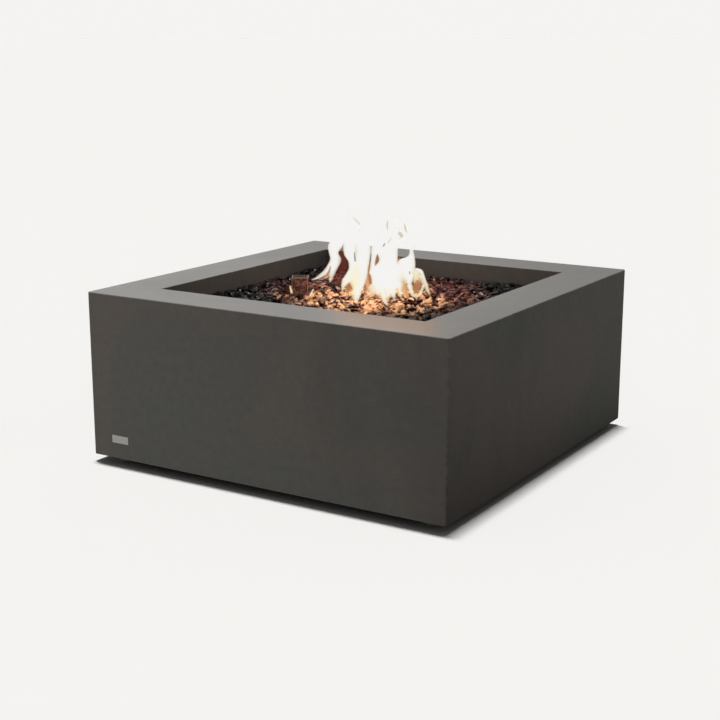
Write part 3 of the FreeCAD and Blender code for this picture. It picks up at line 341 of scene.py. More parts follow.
def heat_stained():
    """Thin stainless sheet that the fire has tinted brown and violet, partly a painted reflection of the lit
    glass, with painted highlights at its folds and painted shade on its top.
    """
    f = Finish("heat_stained_sheet")
    x, y, z = f.axes()
    along = (x - GUARD_MIDDLE.x) * math.cos(GUARD_TURN) + (y - GUARD_MIDDLE.y) * math.sin(GUARD_TURN)
    aside = (y - GUARD_MIDDLE.y) * math.cos(GUARD_TURN) - (x - GUARD_MIDDLE.x) * math.sin(GUARD_TURN)
    # Heat tint in brown and violet, its reddish brown partly a painted warm reflection of the lit glass.
    bands = f.noise(85.0, 3.0, 0.6)
    tone = f.blend(f.between(bands, 0.42, 0.60), paint(92, 68, 66), paint(186, 130, 114))
    tone = f.blend(f.between(bands, 0.60, 0.70), tone, paint(206, 158, 120))
    half = GUARD_SIDE / 2
    upright = f.between(f.lowest(abs(along), abs(aside)), half - 0.0014, half - 0.0006)
    level = f.between(f.highest(abs(along), abs(aside)), half - 0.0012, half)
    fold = f.highest(upright, level * f.between(z, GUARD_TOP - 0.0016, GUARD_TOP - 0.0008))
    # Painted shade: the top face is painted dark, against the strong light from above.
    top = z > GUARD_TOP - 0.0004
    tone = f.blend(top, tone, paint(34, 22, 22))
    # Painted highlight: the folds are painted bright.
    tone = f.blend(fold, tone, paint(220, 176, 148))
    grain = f.noise(1.0, 2.0, 0.6, f.stretched(1500.0, 1500.0, 60.0))
    rough = f.highest(0.46 + 0.14 * grain, 0.95 * top)
    shape = f.bump(grain, 0.00006)
    return f.done({"Base Color": tone, "Metallic": 0.7 * (1.0 - top), "Roughness": rough, "Normal": shape})


def turned(name, colour, dark, roughness, dull):
    """Machined metal with fine tool marks and dulled patches."""
    f = Finish(name)
    marks = f.noise(1.0, 2.0, 0.6, f.stretched(1400.0, 1400.0, 1400.0))
    patches = f.noise(70.0, 5.0, 0.62)
    tone = f.blend(f.between(patches, 0.35, 0.7), paint(*colour), paint(*dark))
    tone = f.blend(f.between(patches, 0.66, 0.82, 0.0, 0.5), tone, paint(*dull))
    rough = roughness + 0.18 * patches + 0.06 * marks
    shape = f.bump(0.5 * marks + patches, 0.00008)
    return f.done({"Base Color": tone, "Metallic": 1.0, "Roughness": rough, "Normal": shape})


def cast_metal():
    """Die-cast aluminium: fine orange-peel skin, slightly blotched."""
    f = Finish("die_cast_aluminium")
    skin = f.noise(520.0, 3.0, 0.55)
    blotches = f.noise(45.0, 4.0, 0.6)
    tone = f.blend(f.between(blotches, 0.35, 0.7), paint(176, 177, 178), paint(142, 143, 145))
    rough = 0.42 + 0.16 * blotches
    shape = f.bump(skin, 0.00012)
    return f.done({"Base Color": tone, "Metallic": 1.0, "Roughness": rough, "Normal": shape})


def black_pipe():
    """Black malleable iron: mill scale, a rough skin and a little rust."""
    f = Finish("black_iron_pipe")
    scale = f.noise(140.0, 6.0, 0.7)
    rust = f.between(f.noise(38.0, 5.0, 0.65), 0.56, 0.74)
    tone = f.blend(f.between(scale, 0.3, 0.7), paint(38, 37, 37), paint(62, 60, 59))
    tone = f.blend(rust * 0.6, tone, paint(104, 60, 36))
    rough = 0.5 + 0.2 * scale + 0.15 * rust
    shape = f.bump(scale, 0.0004)
    return f.done({"Base Color": tone, "Metallic": 0.35, "Roughness": rough, "Normal": shape})


def fibre():
    """Woven fibre gasket tape."""
    f = Finish("fibre_gasket_tape")
    weave = f.waves("BANDS", 260.0, 1.5)
    fuzz = f.noise(1600.0, 2.0, 0.6)
    tone = f.blend(weave, paint(34, 33, 32), paint(66, 64, 61))
    tone = f.blend(f.between(fuzz, 0.5, 0.8, 0.0, 0.5), tone, paint(96, 93, 88))
    return f.done({"Base Color": tone, "Roughness": 0.92, "Normal": f.bump(weave + 0.4 * fuzz, 0.0004)})


def moulded(name, colour, pale, roughness=0.42, grain=1300.0, depth=0.00010):
    """Moulded plastic with a fine spark-eroded texture and faint handling marks."""
    f = Finish(name)
    skin = f.noise(grain, 3.0, 0.6)
    rubbed = f.noise(34.0, 4.0, 0.6)
    tone = f.blend(f.between(skin, 0.3, 0.75, 0.0, 0.6), paint(*colour), paint(*pale))
    rough = roughness + 0.14 * skin - f.between(rubbed, 0.5, 0.8, 0.0, 0.12)
    return f.done({"Base Color": tone, "Roughness": rough, "Normal": f.bump(skin, depth)})


JACKET_BAND = (0.4225, 0.4230)


def cell_jacket():
    """The dry cell's printed jacket: two plain bands, which meet at a place along Y."""
    f = Finish("cell_jacket")
    x, y, z = f.axes()
    band = f.between(y, *JACKET_BAND)
    tone = f.blend(band, paint(38, 40, 44), paint(176, 138, 74))
    scuffs = f.noise(300.0, 4.0, 0.65)
    tone = f.blend(f.between(scuffs, 0.62, 0.8, 0.0, 0.4), tone, paint(150, 148, 142))
    return f.done({"Base Color": tone, "Roughness": 0.28 + 0.2 * scuffs, "Normal": f.bump(scuffs, 0.00004)})


def ceramic():
    """Glazed white ceramic, faintly speckled."""
    f = Finish("glazed_ceramic")
    specks = f.between(f.noise(900.0, 2.0, 0.5), 0.66, 0.74)
    soot = f.between(f.noise(50.0, 4.0, 0.6), 0.5, 0.75, 0.0, 0.45)
    tone = f.blend(specks * 0.6, paint(232, 229, 220), paint(150, 140, 124))
    tone = f.blend(soot, tone, paint(120, 108, 96))
    waves = f.noise(120.0, 2.0, 0.5)
    sockets = {"Base Color": tone, "Roughness": 0.16 + 0.3 * soot, "Normal": f.bump(waves, 0.0001)}
    return f.done(sockets | {"Coat Roughness": 0.08})


def lead_sleeve():
    """Red silicone sleeve over the spark lead, dusted."""
    f = Finish("silicone_sleeve")
    dust = f.noise(110.0, 5.0, 0.65)
    tone = f.blend(f.between(dust, 0.48, 0.78, 0.0, 0.6), paint(150, 34, 24), paint(168, 96, 84))
    return f.done({"Base Color": tone, "Roughness": 0.44 + 0.25 * dust, "Normal": f.bump(dust, 0.0001)})


def foot_rubber():
    """Black rubber with moulding grain and floor dust low down."""
    f = Finish("foot_rubber")
    x, y, z = f.axes()
    grain = f.noise(800.0, 3.0, 0.6)
    dust = f.between(z, 0.001, 0.006, 0.5, 0.0) * f.noise(90.0, 4.0, 0.6)
    tone = f.blend(f.between(grain, 0.35, 0.75, 0.0, 0.5), paint(24, 24, 24), paint(44, 43, 42))
    tone = f.blend(dust, tone, paint(120, 114, 106))
    return f.done({"Base Color": tone, "Roughness": 0.62 + 0.2 * grain, "Normal": f.bump(grain, 0.00015)})


# Where the flames' light is painted on the glass, as colour and glow. A zone is an oval: how much X is
# pressed together, its middle after that, and how far out its light is full and ends. Single chips outside
# the zones get painted light as well.
DIM_ZONE = (0.85, (-0.025, 0.10), 0.24, 0.36)
BRIGHT_ZONE = (0.8, (0.004, -0.022), 0.195, 0.28)
LIT_CHIPS = ((-0.244, -0.018), (-0.196, -0.121), (-0.179, -0.127), (0.200, -0.072), (0.176, -0.078))
LIT_CHIP_REACH = (0.006, 0.012)


def fire_glass():
    """Black tempered fire glass with shell-shaped ripples, and the flames' light painted on it: amber and
    maroon colour and a painted glow where they light it.
    """
    f = Finish("black_fire_glass")
    x, y, z = f.axes()
    ragged = 0.12 * f.noise(14.0, 3.0, 0.6)

    def zone(squeeze, middle, full, end):
        """1 where a zone's painted light is full and 0 outside it, with a ragged edge."""
        apart = ((squeeze * x - middle[0]) ** 2.0 + (y - middle[1]) ** 2.0) ** 0.5
        return f.between(apart + ragged, full, end, 1.0, 0.0)

    # The painted light: a dim zone, a bright one, and single lit chips.
    near = zone(*DIM_ZONE)
    core = zone(*BRIGHT_ZONE)
    for across, along in LIT_CHIPS:
        apart = ((x - across) ** 2.0 + (y - along) ** 2.0) ** 0.5
        core = f.highest(core, f.between(apart, *LIT_CHIP_REACH, 0.8, 0.0))
    lit = f.highest(near, core)
    own = f.node("Attribute", {"attribute_name": "chip_tone"}, output="Fac")
    facet = f.cell_number(58.0)
    curls = f.waves("RINGS", 17.0, 12.0, {"Detail Scale": 1.4})
    catch = 0.40 * own + 0.28 * facet + 0.32 * curls
    caught = f.between(catch, 0.44 - 0.08 * core, 0.74 - 0.10 * core) * lit
    # Painted light in the colour: maroon where the flames light the glass, amber and gold where they light
    # it most.
    tone = f.blend(own * 0.6, paint(5, 5, 6), paint(18, 17, 17))
    tone = f.blend(lit * 0.8, tone, paint(66, 34, 34))
    tone = f.blend(caught * 0.9, tone, f.blend(core, paint(124, 78, 64), paint(206, 152, 108)))
    # A painted glow: the glass emits light where the flames light it.
    light = f.blend(f.between(facet + curls, 0.5, 1.6) * core, paint(136, 60, 44), paint(244, 194, 142))
    light = f.blend(1.0 - caught * (0.35 + 0.65 * core), light, paint(0, 0, 0))
    ripples = f.waves("RINGS", 70.0, 14.0)
    frost = f.between(f.noise(300.0, 4.0, 0.6), 0.55, 0.75)
    rough = 0.15 + 0.20 * frost
    wet = f.between(own, 0.72, 0.80, 0.0, 0.22)
    shape = f.bump(ripples + 0.5 * f.noise(160.0, 2.0, 0.5), 0.0009)
    sockets = {"Base Color": tone, "Roughness": rough, "Normal": shape, "Specular IOR Level": 0.22}
    sockets |= {"Coat Weight": wet, "Coat Roughness": 0.18}
    return f.done(sockets | {"Emission Color": light, "Emission Strength": 0.38})


FINISHES = {
    "concrete": concrete(),
    "brushed_plate": brushed("bare_badge_plate", (196, 194, 190), (160, 158, 154), "x", 0.34),
    "zinc_steel": turned("zinc_plated_steel", (186, 188, 190), (150, 150, 146), 0.26, (120, 118, 110)),
    "fibre": fibre(),
    "stainless": brushed("brushed_stainless", (184, 182, 178), (148, 146, 142), "x"),
    "black_pipe": black_pipe(),
    "brass": turned("machined_brass", (206, 164, 86), (178, 136, 66), 0.24, (112, 84, 46)),
    "corrugated_steel": turned("flexible_steel_line", (184, 182, 178), (150, 147, 142), 0.3, (110, 104, 96)),
    "cast_aluminium": cast_metal(),
    "dial": brushed("brushed_dial", (176, 175, 173), (142, 141, 139), "x", 0.36),
    "black_plastic": moulded("black_moulded_plastic", (22, 22, 23), (40, 40, 41)),
    "cell_jacket": cell_jacket(),
    "white_ceramic": ceramic(),
    "red_lead": lead_sleeve(),
    "copper": turned("drawn_copper", (196, 120, 84), (164, 92, 62), 0.28, (96, 58, 44)),
    "fire_glass": fire_glass(),
    "spring_steel": turned("spring_wire", (168, 168, 170), (132, 132, 134), 0.26, (100, 96, 90)),
    "knob_black": moulded("satin_black_knob", (20, 20, 21), (42, 42, 43), 0.36, 1100.0),
    "button_red": moulded("red_button", (164, 22, 16), (188, 44, 34), 0.22, 600.0, 0.00004),
    "foot_rubber": foot_rubber(),
}


def dress_nodes():
    """Gives every CAD node its slot's finish, and the guard its own stained sheet."""
    for row in frame["record"]["subparts"]:
        for slot in frame["nodes"][row["node"]].material_slots:
            slot.material = FINISHES[row["material_slot"]]
    guard = heat_stained()
    for name in ("pilot_guard", "pilot_bracket"):
        for slot in frame["nodes"][name].material_slots:
            slot.material = guard


# Meshes


def new_object(name, data, slot=None, body=None):
    """An object in the scene that, if it is a piece, takes a slot's finish and rides on a body."""
    made = bpy.data.objects.new(name, data)
    bpy.context.scene.collection.objects.link(made)
    if slot:
        data.materials.append(FINISHES[slot])
        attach(made, body)
    return made


def mesh_from(name, corners, faces, smooth=False):
    mesh = bpy.data.meshes.new(name)
    mesh.from_pydata([tuple(c) for c in corners], [], faces)
    mesh.update()
    for polygon in mesh.polygons:
        polygon.use_smooth = smooth
    return mesh


def sweep(points, radius, sides):
    """Corners and faces of a closed round tube through some points."""
    corners = []
    normal = (points[1] - points[0]).orthogonal().normalized()
    for k, point in enumerate(points):
        along = (points[min(k + 1, len(points) - 1)] - points[max(k - 1, 0)]).normalized()
        normal = (normal - along * normal.dot(along)).normalized()
        side = along.cross(normal)
        for s in range(sides):
            angle = 2 * math.pi * s / sides
            corners.append(point + (normal * math.cos(angle) + side * math.sin(angle)) * radius)
    return corners, tube_faces(len(points), sides)


def tube_faces(rings, sides):
    """Faces of a closed tube whose corners come ring by ring."""
    faces = []
    for k in range(rings - 1):
        for s in range(sides):
            a = k * sides + s
            b = k * sides + (s + 1) % sides
            faces.append((a, b, b + sides, a + sides))
    last = (rings - 1) * sides
    faces.append(tuple(reversed(range(sides))))
    faces.append(tuple(range(last, last + sides)))
    return faces


# Fire glass
#
# Chips fall all over the bed, large ones first, and then along its four walls. The heap's height is kept
# on a grid. A chip sinks into the heap, and raises it round the chip's middle and at its corners, all by
# shares of its size.

CHIP_SEED = 11
CHIP_SHAPES = 40
CHIP_COUNT = 2600
CHIP_LARGE = 0.0200
CHIP_SMALL = 0.0115
SIZE_FALL = 0.7
SIZE_VARIES = (0.6, 1.0)
CHIP_TILT = 0.9
BANK_COUNT = 900
BANK_WIDTH = 0.05
WALL_GAP = 0.001
GUARD_GAP = 0.034
HEAP_STEP = 0.002
SINKS = 0.18
RAISED_REACH = 0.55
RAISED_UNDER_TOP = 0.35
RAISED_UNDER_CORNER = 0.1

# One chip: half of its length, width and thickness, how many breaks cut it, and how far out
CHIP_LONG = (1.0, 1.5)
CHIP_WIDE = (0.6, 1.0)
CHIP_THICK = (0.30, 0.55)
BREAKS = (7, 10)
BREAK_REACH = (0.36, 0.74)
CLOSE_CORNERS = 0.09
FLAT_ENOUGH = math.radians(8)
EASED_EDGE = 0.03


def chip_shape(chance):
    """One broken lump of glass: a ball drawn long, cut by flat breaks, its edges eased."""
    shape = bmesh.new()
    bmesh.ops.create_icosphere(shape, subdivisions=1, radius=1.0)
    long, wide, thick = [chance.uniform(*reach) for reach in (CHIP_LONG, CHIP_WIDE, CHIP_THICK)]
    bmesh.ops.scale(shape, vec=(long, wide, thick), verts=shape.verts)
    for cut in range(chance.randint(*BREAKS)):
        away = Vector([chance.gauss(0, 1) for axis in "xyz"]).normalized()
        place = Vector((away.x * long, away.y * wide, away.z * thick)) * chance.uniform(*BREAK_REACH)
        everything = shape.verts[:] + shape.edges[:] + shape.faces[:]
        bmesh.ops.bisect_plane(shape, geom=everything, plane_co=place, plane_no=away, clear_outer=True)
        rim = [edge for edge in shape.edges if edge.is_boundary]
        bmesh.ops.holes_fill(shape, edges=rim)
    bmesh.ops.remove_doubles(shape, verts=shape.verts, dist=CLOSE_CORNERS)
    bmesh.ops.dissolve_limit(shape, angle_limit=FLAT_ENOUGH, verts=shape.verts, edges=shape.edges)
    edges = shape.edges[:]
    bmesh.ops.bevel(shape, geom=edges, offset=EASED_EDGE, segments=1, affect="EDGES", clamp_overlap=True)
    bmesh.ops.recalc_face_normals(shape, faces=shape.faces)
    shape.verts.index_update()
    corners = np.array([v.co[:] for v in shape.verts])
    faces = [[v.index for v in face.verts] for face in shape.faces]
    shape.free()
    return corners, faces


def heap_of_glass():
    """Drops chips one by one on the bed, and gives each one's corners, faces and tone."""
    chance = random.Random(CHIP_SEED)
    shapes = [chip_shape(chance) for k in range(CHIP_SHAPES)]
    cells = math.ceil(2 * RECESS_HALF / HEAP_STEP) + 1
    heights = np.full((cells, cells), BED_TOP)
    placed = []
    for k in range(CHIP_COUNT + BANK_COUNT):
        share = min(1.0, k / CHIP_COUNT) ** SIZE_FALL
        size = CHIP_LARGE + (CHIP_SMALL - CHIP_LARGE) * share * chance.uniform(*SIZE_VARIES)
        corners, faces = shapes[chance.randrange(CHIP_SHAPES)]
        tilts = [chance.uniform(-CHIP_TILT, CHIP_TILT) for axis in "xy"]
        turn = Euler([*tilts, chance.uniform(0, 6.28)])
        corners = corners @ np.array(turn.to_matrix()).T * size
        limit = RECESS_HALF - WALL_GAP - np.abs(corners[:, :2]).max()
        x, y = chance.uniform(-limit, limit), chance.uniform(-limit, limit)
        if k >= CHIP_COUNT:
            edge = math.copysign(limit - BANK_WIDTH * chance.random(), y)
            x, y = (x, edge) if k % 2 else (edge, x)
        if max(abs(x - GUARD_MIDDLE.x), abs(y - GUARD_MIDDLE.y)) < GUARD_GAP + size:
            continue
        corners = corners + (x, y, 0.0)
        columns = ((corners[:, 0] + RECESS_HALF) / HEAP_STEP).astype(int)
        rows = ((corners[:, 1] + RECESS_HALF) / HEAP_STEP).astype(int)
        lift = (heights[columns, rows] - corners[:, 2]).max() - SINKS * size
        corners = corners + (0.0, 0.0, lift)
        top = corners[:, 2].max()
        if top > CHIP_CEILING:
            continue
        reach = max(1, int(RAISED_REACH * size / HEAP_STEP))
        column = int((x + RECESS_HALF) / HEAP_STEP)
        row = int((y + RECESS_HALF) / HEAP_STEP)
        patch = heights[column - reach:column + reach + 1, row - reach:row + reach + 1]
        np.maximum(patch, top - RAISED_UNDER_TOP * size, out=patch)
        np.maximum.at(heights, (columns, rows), corners[:, 2] - RAISED_UNDER_CORNER * size)
        placed.append((corners, faces, chance.random()))
    return placed


def glass_piece(name, chips):
    """One object of many chips, each with its own tone."""
    corners = []
    faces = []
    tones = []
    for places, outlines, tone in chips:
        start = len(corners)
        corners.extend(places.tolist())
        faces.extend([[start + c for c in outline] for outline in outlines])
        tones.extend([tone] * len(places))
    mesh = mesh_from(name, corners, faces)
    mesh.attributes.new("chip_tone", "FLOAT", "POINT").data.foreach_set("value", tones)
    return new_object(name, mesh, "fire_glass", "table")


def fire_glass_layer():
    """The loose glass as four objects, a quarter of the recess each."""
    chips = heap_of_glass()
    print("chips of glass:", len(chips))
    quarters = {"front_left": (-1, -1), "front_right": (1, -1), "back_left": (-1, 1), "back_right": (1, 1)}
    for place, (side, depth) in quarters.items():
        own = []
        for chip in chips:
            middle = chip[0].mean(axis=0)
            if (middle[0] >= 0) == (side > 0) and (middle[1] >= 0) == (depth > 0):
                own.append(chip)
        piece = glass_piece(f"fire_glass_{place}", own)
        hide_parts("glass_chips")
        print(piece.name, len(piece.data.polygons), "faces")


# Springs, as coils of wire in place of their sleeves

SPRING_WIRE = 0.0005
COIL_STEPS = 20
COIL_SIDES = 8
END_RISE = 0.08


def coil(name, node, body, turns):
    """A coil spring along Y in a sleeve's place, its first and last turn nearly flat."""
    low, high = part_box(node)
    middle = middle_of(node)
    radius = (high[0] - low[0]) / 2 - SPRING_WIRE
    start, end = low[1] + SPRING_WIRE, high[1] - SPRING_WIRE
    steps = turns * COIL_STEPS
    points = []
    for k in range(steps + 1):
        share = k / steps
        angle = 2 * math.pi * turns * share
        eased = min(max((share * turns - 1) / (turns - 2), 0.0), 1.0)
        y = start + (end - start) * (END_RISE * share + (1 - END_RISE) * eased)
        points.append(Vector((middle.x + radius * math.cos(angle), y, middle.z + radius * math.sin(angle))))
    mesh = mesh_from(name, *sweep(points, SPRING_WIRE, COIL_SIDES), smooth=True)
    piece = new_object(name, mesh, "spring_steel", body)
    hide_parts(node)
    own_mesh(piece)


# Dial and knob marks

MARK_SUNK = 0.0001
MARK_RAISED = 0.0003
OFF_PLACE = 0.0275
OFF_RING = (0.0024, 0.0015)
OFF_STEPS = 28
BAND_STEPS = 32
HIGH_ANGLE = math.radians(82)
LOW_ANGLE = math.radians(184)
BAND_OUTER = 0.0300
BAND_WIDE = 0.0048
BAND_NARROW = 0.0008
POINTER = [(0.0050, 0.0012), (0.0135, 0.0012), (0.0160, 0.0002)]


def raised_mark(edges, back, front, closed=False):
    """Corners and faces of a thin raised shape facing +Y between pairs of points, each an x and a z."""
    corners = []
    for outer, inner in edges:
        corners += [(x, y, z) for x, z in (outer, inner) for y in (back, front)]
    last = len(edges)
    faces = []
    for k in range(last if closed else last - 1):
        a, b = 4 * k, 4 * ((k + 1) % last)
        for s, t in ((0, 1), (1, 3), (3, 2), (2, 0)):
            faces.append((a + s, b + s, b + t, a + t))
    if not closed:
        end = 4 * (last - 1)
        faces += [(0, 1, 3, 2), (end, end + 2, end + 3, end + 1)]
    return corners, faces


def on_dial(angle, radius):
    """A place on the dial, by its angle from the top the way the knob opens."""
    return DIAL_MIDDLE.x + radius * math.sin(angle), DIAL_MIDDLE.z + radius * math.cos(angle)


def dial_and_knob_marks():
    """A ring for off, a band that narrows from high to low, and the knob's pointer."""
    back, front = DIAL_FACE - MARK_SUNK, DIAL_FACE + MARK_RAISED
    x, z = on_dial(0.0, OFF_PLACE)
    turns = [2 * math.pi * k / OFF_STEPS for k in range(OFF_STEPS)]
    ring = [[(x + r * math.cos(t), z + r * math.sin(t)) for r in OFF_RING] for t in turns]
    off = raised_mark(ring, back, front, closed=True)
    band = []
    for k in range(BAND_STEPS + 1):
        share = k / BAND_STEPS
        angle = HIGH_ANGLE + (LOW_ANGLE - HIGH_ANGLE) * share
        wide = BAND_WIDE + (BAND_NARROW - BAND_WIDE) * share
        band.append((on_dial(angle, BAND_OUTER), on_dial(angle, BAND_OUTER - wide)))
    flow = raised_mark(band, back, front)
    for name, (corners, faces) in {"dial_mark_off": off, "dial_mark_flow": flow}.items():
        new_object(name, mesh_from(name, corners, faces), "knob_black", "table")
    x, z = on_dial(0.0, 0.0)
    line = [((x - half, z + up), (x + half, z + up)) for up, half in POINTER]
    corners, faces = raised_mark(line, KNOB_FACE - MARK_SUNK, KNOB_FACE + MARK_RAISED)
    new_object("knob_pointer", mesh_from("knob_pointer", corners, faces), "cast_aluminium", "control_knob")


# Flames, which are gas and no part of the object
#
# They are drawn on an upright plane through the centre that faces the camera: each row is how far
# to the right of the centre, how high, and half the width there, in millimetres. The pair before
# the rows is how far behind that plane the flame's foot and its top really are. A flame is moved
# there along the camera's lines of sight, so it keeps its outline.

WHITE_FLAMES = {
    "left_lick": ((180, 185), [
        (-146, 431, 3), (-129, 438, 11), (-107, 455, 12), (-90, 471, 17), (-84, 487, 16), (-89, 503, 14),
        (-84, 522, 21), (-72, 545, 18), (-58, 580, 1)
    ]),
    "left_lick_inner": ((165, 180), [
        (-99, 424, 2), (-96, 437, 7), (-91, 455, 10), (-85, 472, 12), (-84, 485, 9)
    ]),
    "column_left": ((25, 10), [
        (-67, 395, 2), (-66, 412, 4), (-60, 424, 9), (-52, 437, 14), (-42, 450, 16), (-37, 462, 15),
        (-41, 480, 12), (-48, 500, 16), (-46, 535, 19), (-42, 575, 15), (-46, 630, 1)
    ]),
    "column_front": ((-92, 0), [
        (-33, 368, 3), (-30, 388, 9), (-26, 408, 11), (-21, 425, 13), (-18, 445, 15), (-17, 465, 17),
        (-16, 485, 20), (-14, 505, 20), (-12, 545, 19), (0, 582, 10), (8, 612, 1)
    ]),
    "mass_left": ((40, 0), [
        (14, 392, 2), (12, 403, 10), (13, 416, 11), (18, 428, 8), (16, 440, 9), (11, 450, 11), (11, 462, 9),
        (13, 492, 8), (22, 522, 15), (34, 550, 13), (46, 585, 1)
    ]),
    "mass": ((-60, 0), [
        (45, 396, 10), (45, 404, 22), (45, 414, 32), (45, 432, 39), (46, 458, 40), (49, 476, 27),
        (50, 488, 25), (47, 504, 28), (44, 520, 32), (50, 548, 29), (66, 600, 1)
    ]),
    "strand_left": ((-95, -60), [(21, 386, 1), (22, 395, 4), (26, 410, 9)]),
    "strand_front": ((-130, -60), [(53, 358, 1), (47, 368, 5), (41, 380, 7), (39, 394, 8), (40, 408, 11)]),
    "strand_middle": ((-115, -60), [(53, 373, 1), (51, 386, 5), (49, 400, 9)]),
    "strand_right": ((-110, -60), [(68, 372, 1), (66, 384, 4), (62, 398, 8), (58, 412, 10)]),
    "strand_far": ((-60, -40), [(84, 380, 1), (82, 394, 4), (79, 410, 6), (74, 426, 10)]),
    "shoulder": ((0, 10), [
        (98, 422, 8), (97, 442, 17), (96, 462, 24), (96, 477, 24), (99, 486, 20), (108, 493, 10),
        (109, 508, 6), (104, 530, 9), (98, 550, 11), (84, 590, 1)
    ]),
    "right_edge": ((0, 5), [
        (159, 386, 1), (153, 403, 3), (146, 425, 4), (139, 444, 5), (130, 458, 8), (121, 463, 4)
    ]),
    "loop_left": ((20, 10), [(120, 386, 6), (113, 395, 7), (108, 406, 6), (105, 420, 7), (106, 446, 10)]),
    "loop_right": ((20, 10), [(122, 386, 7), (130, 395, 6), (136, 405, 4), (141, 420, 3)]),
}
SMALL_FLAMES = {
    "by_guard": ((55, 55), [(-197, 398, 4), (-198, 404, 4), (-200, 411, 3), (-201, 417, 2)]),
    "low_left": ((25, 25), [(-150, 391, 2), (-147, 398, 3), (-143, 405, 3), (-141, 410, 1)]),
}
YELLOW_FLAMES = {
    "column_body": ((-112, -60), [
        (-43, 368, 1), (-39, 381, 5), (-33, 400, 10), (-32, 418, 14), (-36, 437, 19), (-33, 458, 14),
        (-30, 478, 5)
    ]),
    "column_thin_foot": ((-112, -60), [(-56, 368, 1), (-45, 383, 4), (-38, 400, 5), (-34, 418, 6)]),
    "column_right": ((-20, 0), [(-6, 436, 3), (-8, 452, 6), (-10, 470, 6), (-12, 490, 2)]),
    "mass_foot": ((-50, -10), [(44, 386, 22), (44, 402, 34), (43, 420, 40)]),
    "mass_edge": ((-10, -10), [(86, 398, 3), (84, 420, 8), (84, 445, 7)]),
    "right_top": ((15, 10), [(123, 422, 9), (121, 432, 15), (121, 444, 17), (122, 454, 14), (121, 462, 6)]),
    "right_outer": ((5, 5), [(154, 395, 2), (147, 410, 6), (140, 428, 8), (134, 445, 7)]),
    "left_lick": ((178, 180), [(-112, 436, 8), (-102, 450, 8), (-94, 464, 5)]),
}
ORANGE_SHEETS = {
    "left_lick": ((175, 180), [(-124, 433, 5), (-107, 440, 12), (-98, 455, 8), (-94, 468, 3)]),
    "column_hook": ((0, 0), [(-54, 397, 5), (-53, 408, 12), (-52, 420, 12), (-50, 428, 6)]),
    "between": ((60, 60), [(-6, 396, 14), (-5, 414, 18), (-4, 434, 17), (-3, 455, 12), (0, 478, 6)]),
    "between_near": ((0, 0), [(-6, 404, 9), (-5, 420, 10), (-5, 440, 7), (-5, 458, 3)]),
    "low": ((-60, -20), [(-2, 384, 8), (4, 396, 16), (8, 410, 17), (9, 424, 8)]),
    "low_far": ((20, 20), [(2, 388, 12), (6, 402, 22), (10, 418, 18), (10, 432, 10)]),
    "right_lick": ((10, 10), [(124, 394, 8), (124, 408, 15), (124, 426, 14), (124, 446, 6)]),
    "right_gap": ((30, 30), [(94, 386, 6), (93, 402, 14), (92, 418, 16), (90, 436, 10), (88, 450, 4)]),
    "right_gap_near": ((0, 0), [(94, 392, 6), (93, 406, 10), (91, 424, 6)]),
    "mass_slit": ((-120, -120), [(46, 392, 2), (43, 402, 3), (39, 414, 1)]),
}
WISPS = {
    "left": ((-50, -50), [(-40, 593, 1), (-30, 583, 3), (-21, 574, 2)]),
    "middle": ((-50, -50), [(48, 585, 1), (47, 572, 3), (48, 560, 1)]),
    "right": ((-50, -50), [(90, 578, 1), (92, 569, 3), (94, 561, 3), (98, 553, 1)]),
    "arch": ((-60, -60), [(82, 541, 2), (83, 546, 7), (80, 551, 8), (78, 556, 3)]),
    "strand": ((-70, -70), [(49, 527, 2), (53, 534, 2), (57, 541, 1)]),
}
EMBER_SHEETS = {
    "hook": ((-20, -20), [(-54, 398, 3), (-53, 406, 8), (-51, 416, 7), (-49, 423, 3)]),
    "between": ((-60, -40), [(-9, 400, 3), (-8, 410, 7), (-11, 424, 3), (-9, 444, 2), (-5, 458, 1)]),
    "between_right": ((-60, -40), [(3, 422, 1), (4, 430, 4), (3, 442, 3), (2, 448, 1)]),
    "spot": ((-40, -40), [(5, 420, 2), (6, 430, 6), (5, 442, 3)]),
    "slit": ((10, 10), [(17, 466, 2), (20, 480, 5), (23, 494, 3)]),
    "shoulder_tip": ((-20, -20), [(72, 482, 3), (76, 486, 6), (79, 490, 3)]),
    "right_lick": ((5, 5), [(122, 398, 6), (122, 407, 10), (124, 418, 9), (125, 432, 4)]),
    "left_lick": ((168, 170), [(-122, 435, 2), (-108, 443, 4), (-101, 455, 4), (-97, 468, 2)]),
}
SMOKE_SHEETS = {
    "slit": ((-60, -60), [(-34, 480, 3), (-35, 490, 3), (-37, 505, 1)]),
    "fold": ((-60, -60), [(104, 446, 1), (105, 451, 2), (105, 456, 1)]),
    "spot": ((-90, -90), [(36, 517, 1), (39, 522, 3), (41, 527, 2)]),
}
RED_SHEETS = {
    "behind_columns": ((120, 120), [
        (-84, 424, 14), (-77, 440, 20), (-68, 457, 22), (-64, 473, 20), (-66, 489, 14), (-69, 502, 10),
        (-68, 514, 4)
    ]),
}

# How flames are built: a white one is thin at its foot, a share of its half width, and grows round over a
# height; a thin sheet has half its depth given; a yellow halo stands off the white ones, up to a height.
# All in millimetres, but for the grain of the gas, in metres.
FOOT_SLIMNESS = 0.15
FOOT_HEIGHT = 70.0
SHEET_DEPTH = 6.0
HALO_WIDTH = 2.5
HALO_TOP = 440.0
LEAST_HALF_WIDTH = 0.8
PATH_STEPS = 6
FLAME_SIDES = 16
GAS_GRAIN = 0.0011

